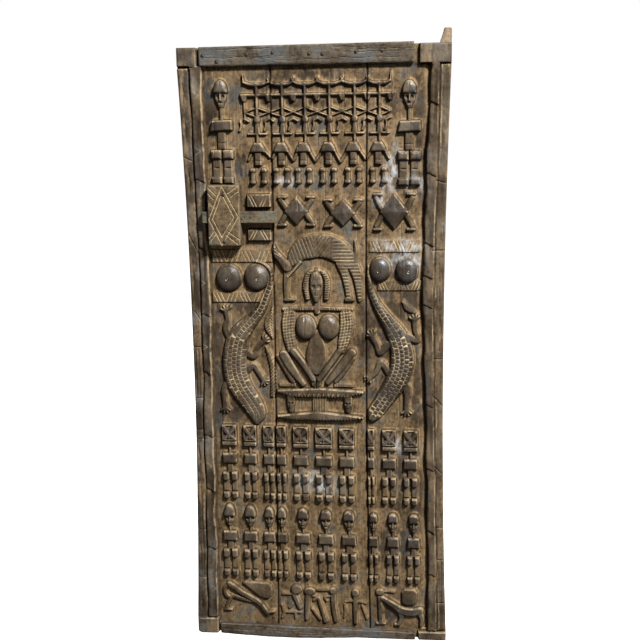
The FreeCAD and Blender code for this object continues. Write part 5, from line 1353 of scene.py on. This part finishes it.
# Iron: nails, staples and tumblers forged by hand. They keep the source's plain solids, and
# are nearly black, pitted, and brown with rust, which is rougher than the bare metal.
RUST_SPOTS = 160.0
iron = bpy.data.materials.new("rusty_forged_iron")
tree = bare_tree(iron)
place = add(tree, "ShaderNodeTexCoord").outputs["Object"]
rust = noise(tree, place, RUST_SPOTS, 0.65)
colour = ramp(tree, rust, (0.38, "#1a1613"), (0.52, "#2e251e"), (0.68, "#4a3424"))
rough = ramp(tree, rust, (0.35, 0.45), (0.65, 0.85))
pit = add(tree, "ShaderNodeBump", {"Height": rust, "Strength": 0.5, "Distance": 0.0006})
surface = add(tree, "ShaderNodeBsdfPrincipled", {
    "Base Color": colour, "Roughness": rough, "Metallic": 0.6, "Normal": pit.outputs["Normal"]})
add(tree, "ShaderNodeOutputMaterial", {"Surface": surface.outputs[0]})
for node in ("top_rail_nails", "bottom_rail_nails", "lock_case_nails", "seam_staples_left",
             "seam_staples_right", "tumbler_pin_left", "tumbler_pin_middle",
             "tumbler_pin_right"):
    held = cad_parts[node]
    held.data.materials.clear()
    held.data.materials.append(iron)

# Floor and light: a plain pale floor under the lower pintle, a key lamp from the upper
# right, a weak one at the left, one behind the door, and a faint even sky, as in a studio.
FLOOR_HALF, FLOOR_GAP = 30, 0.002
SKY_ON_THINGS, SKY_SEEN = 0.1, 1.0
bm = bmesh.new()
bmesh.ops.create_grid(bm, x_segments=1, y_segments=1, size=FLOOR_HALF)
bmesh.ops.translate(bm, vec=(0, 0, cad_box[0][2] - FLOOR_GAP), verts=bm.verts)
floor = linked("floor", meshed("floor", bm))
pale = bpy.data.materials.new("pale_floor")
tree = bare_tree(pale)
seen = add(tree, "ShaderNodeLightPath")
glow = add(tree, "ShaderNodeEmission", {"Color": (1, 1, 1, 1),
                                        "Strength": seen.outputs["Is Camera Ray"]})
shown = blend(tree, seen.outputs["Is Camera Ray"], linear("#807e7b"), linear("#e9e8e6"))
matt = add(tree, "ShaderNodeBsdfDiffuse", {"Color": shown})
both = add(tree, "ShaderNodeAddShader", {0: matt.outputs[0], 1: glow.outputs[0]})
add(tree, "ShaderNodeOutputMaterial", {"Surface": both.outputs[0]})
floor.data.materials.append(pale)

world = bpy.data.worlds.new("studio")
bpy.context.scene.world = world
tree = bare_tree(world)
seen = add(tree, "ShaderNodeLightPath")
strength = add(tree, "ShaderNodeMapRange", {
    "Value": seen.outputs["Is Camera Ray"], "To Min": SKY_ON_THINGS, "To Max": SKY_SEEN})
sky = add(tree, "ShaderNodeBackground", {"Color": (1, 1, 1, 1),
                                         "Strength": strength.outputs["Result"]})
add(tree, "ShaderNodeOutputWorld", {"Surface": sky.outputs[0]})


def lamp(name, place, target, size, power, tint):
    """A square lamp aimed at a point."""
    data = bpy.data.lights.new(name, "AREA")
    data.size, data.energy, data.color = size, power, linear(tint)[:3]
    thing = linked(name, data)
    thing.location = place
    thing.rotation_euler = (Vector(target) - Vector(place)).to_track_quat("-Z", "Y").to_euler()


lamp("key", (2.4, -4.0, 5.6), (-0.45, 0, 0.8), 0.8, 1480, "#f9faff")
lamp("fill", (-2.6, -3.6, 0.6), (-0.45, 0, 0.5), 2.5, 10, "#eef3ff")
lamp("rear", (-0.4, 3.5, 2.6), (-0.45, 0, 1.0), 2.0, 150, "#ffffff")

# Camera: it stands to the right of the door's middle, near head height, and looks a little
# down and to the left, as the photograph was taken.
CAMERA_PLACE = (-0.0809, -3.305, 1.7747)
CAMERA_YAW, CAMERA_PITCH, CAMERA_ROLL = (math.radians(turn) for turn in (5.632, -11.005, -0.816))
FOCAL_PIXELS, FRAME_PIXELS, SENSOR = 1034.0, 640.0, 36.0
data = bpy.data.cameras.new("camera")
data.sensor_width = SENSOR
data.lens = FOCAL_PIXELS * SENSOR / FRAME_PIXELS
camera = linked("camera", data)
level = Vector((math.cos(CAMERA_YAW), math.sin(CAMERA_YAW), 0))
ahead = Vector((-math.sin(CAMERA_YAW) * math.cos(CAMERA_PITCH),
                math.cos(CAMERA_YAW) * math.cos(CAMERA_PITCH), math.sin(CAMERA_PITCH)))
upright = level.cross(ahead)
right_way = level * math.cos(CAMERA_ROLL) + upright * math.sin(CAMERA_ROLL)
up_way = upright * math.cos(CAMERA_ROLL) - level * math.sin(CAMERA_ROLL)
turn = Matrix((right_way, up_way, -ahead)).transposed()
camera.matrix_world = Matrix.Translation(CAMERA_PLACE) @ turn.to_4x4()
bpy.context.scene.camera = camera
bpy.context.scene.view_settings.view_transform = "Standard"
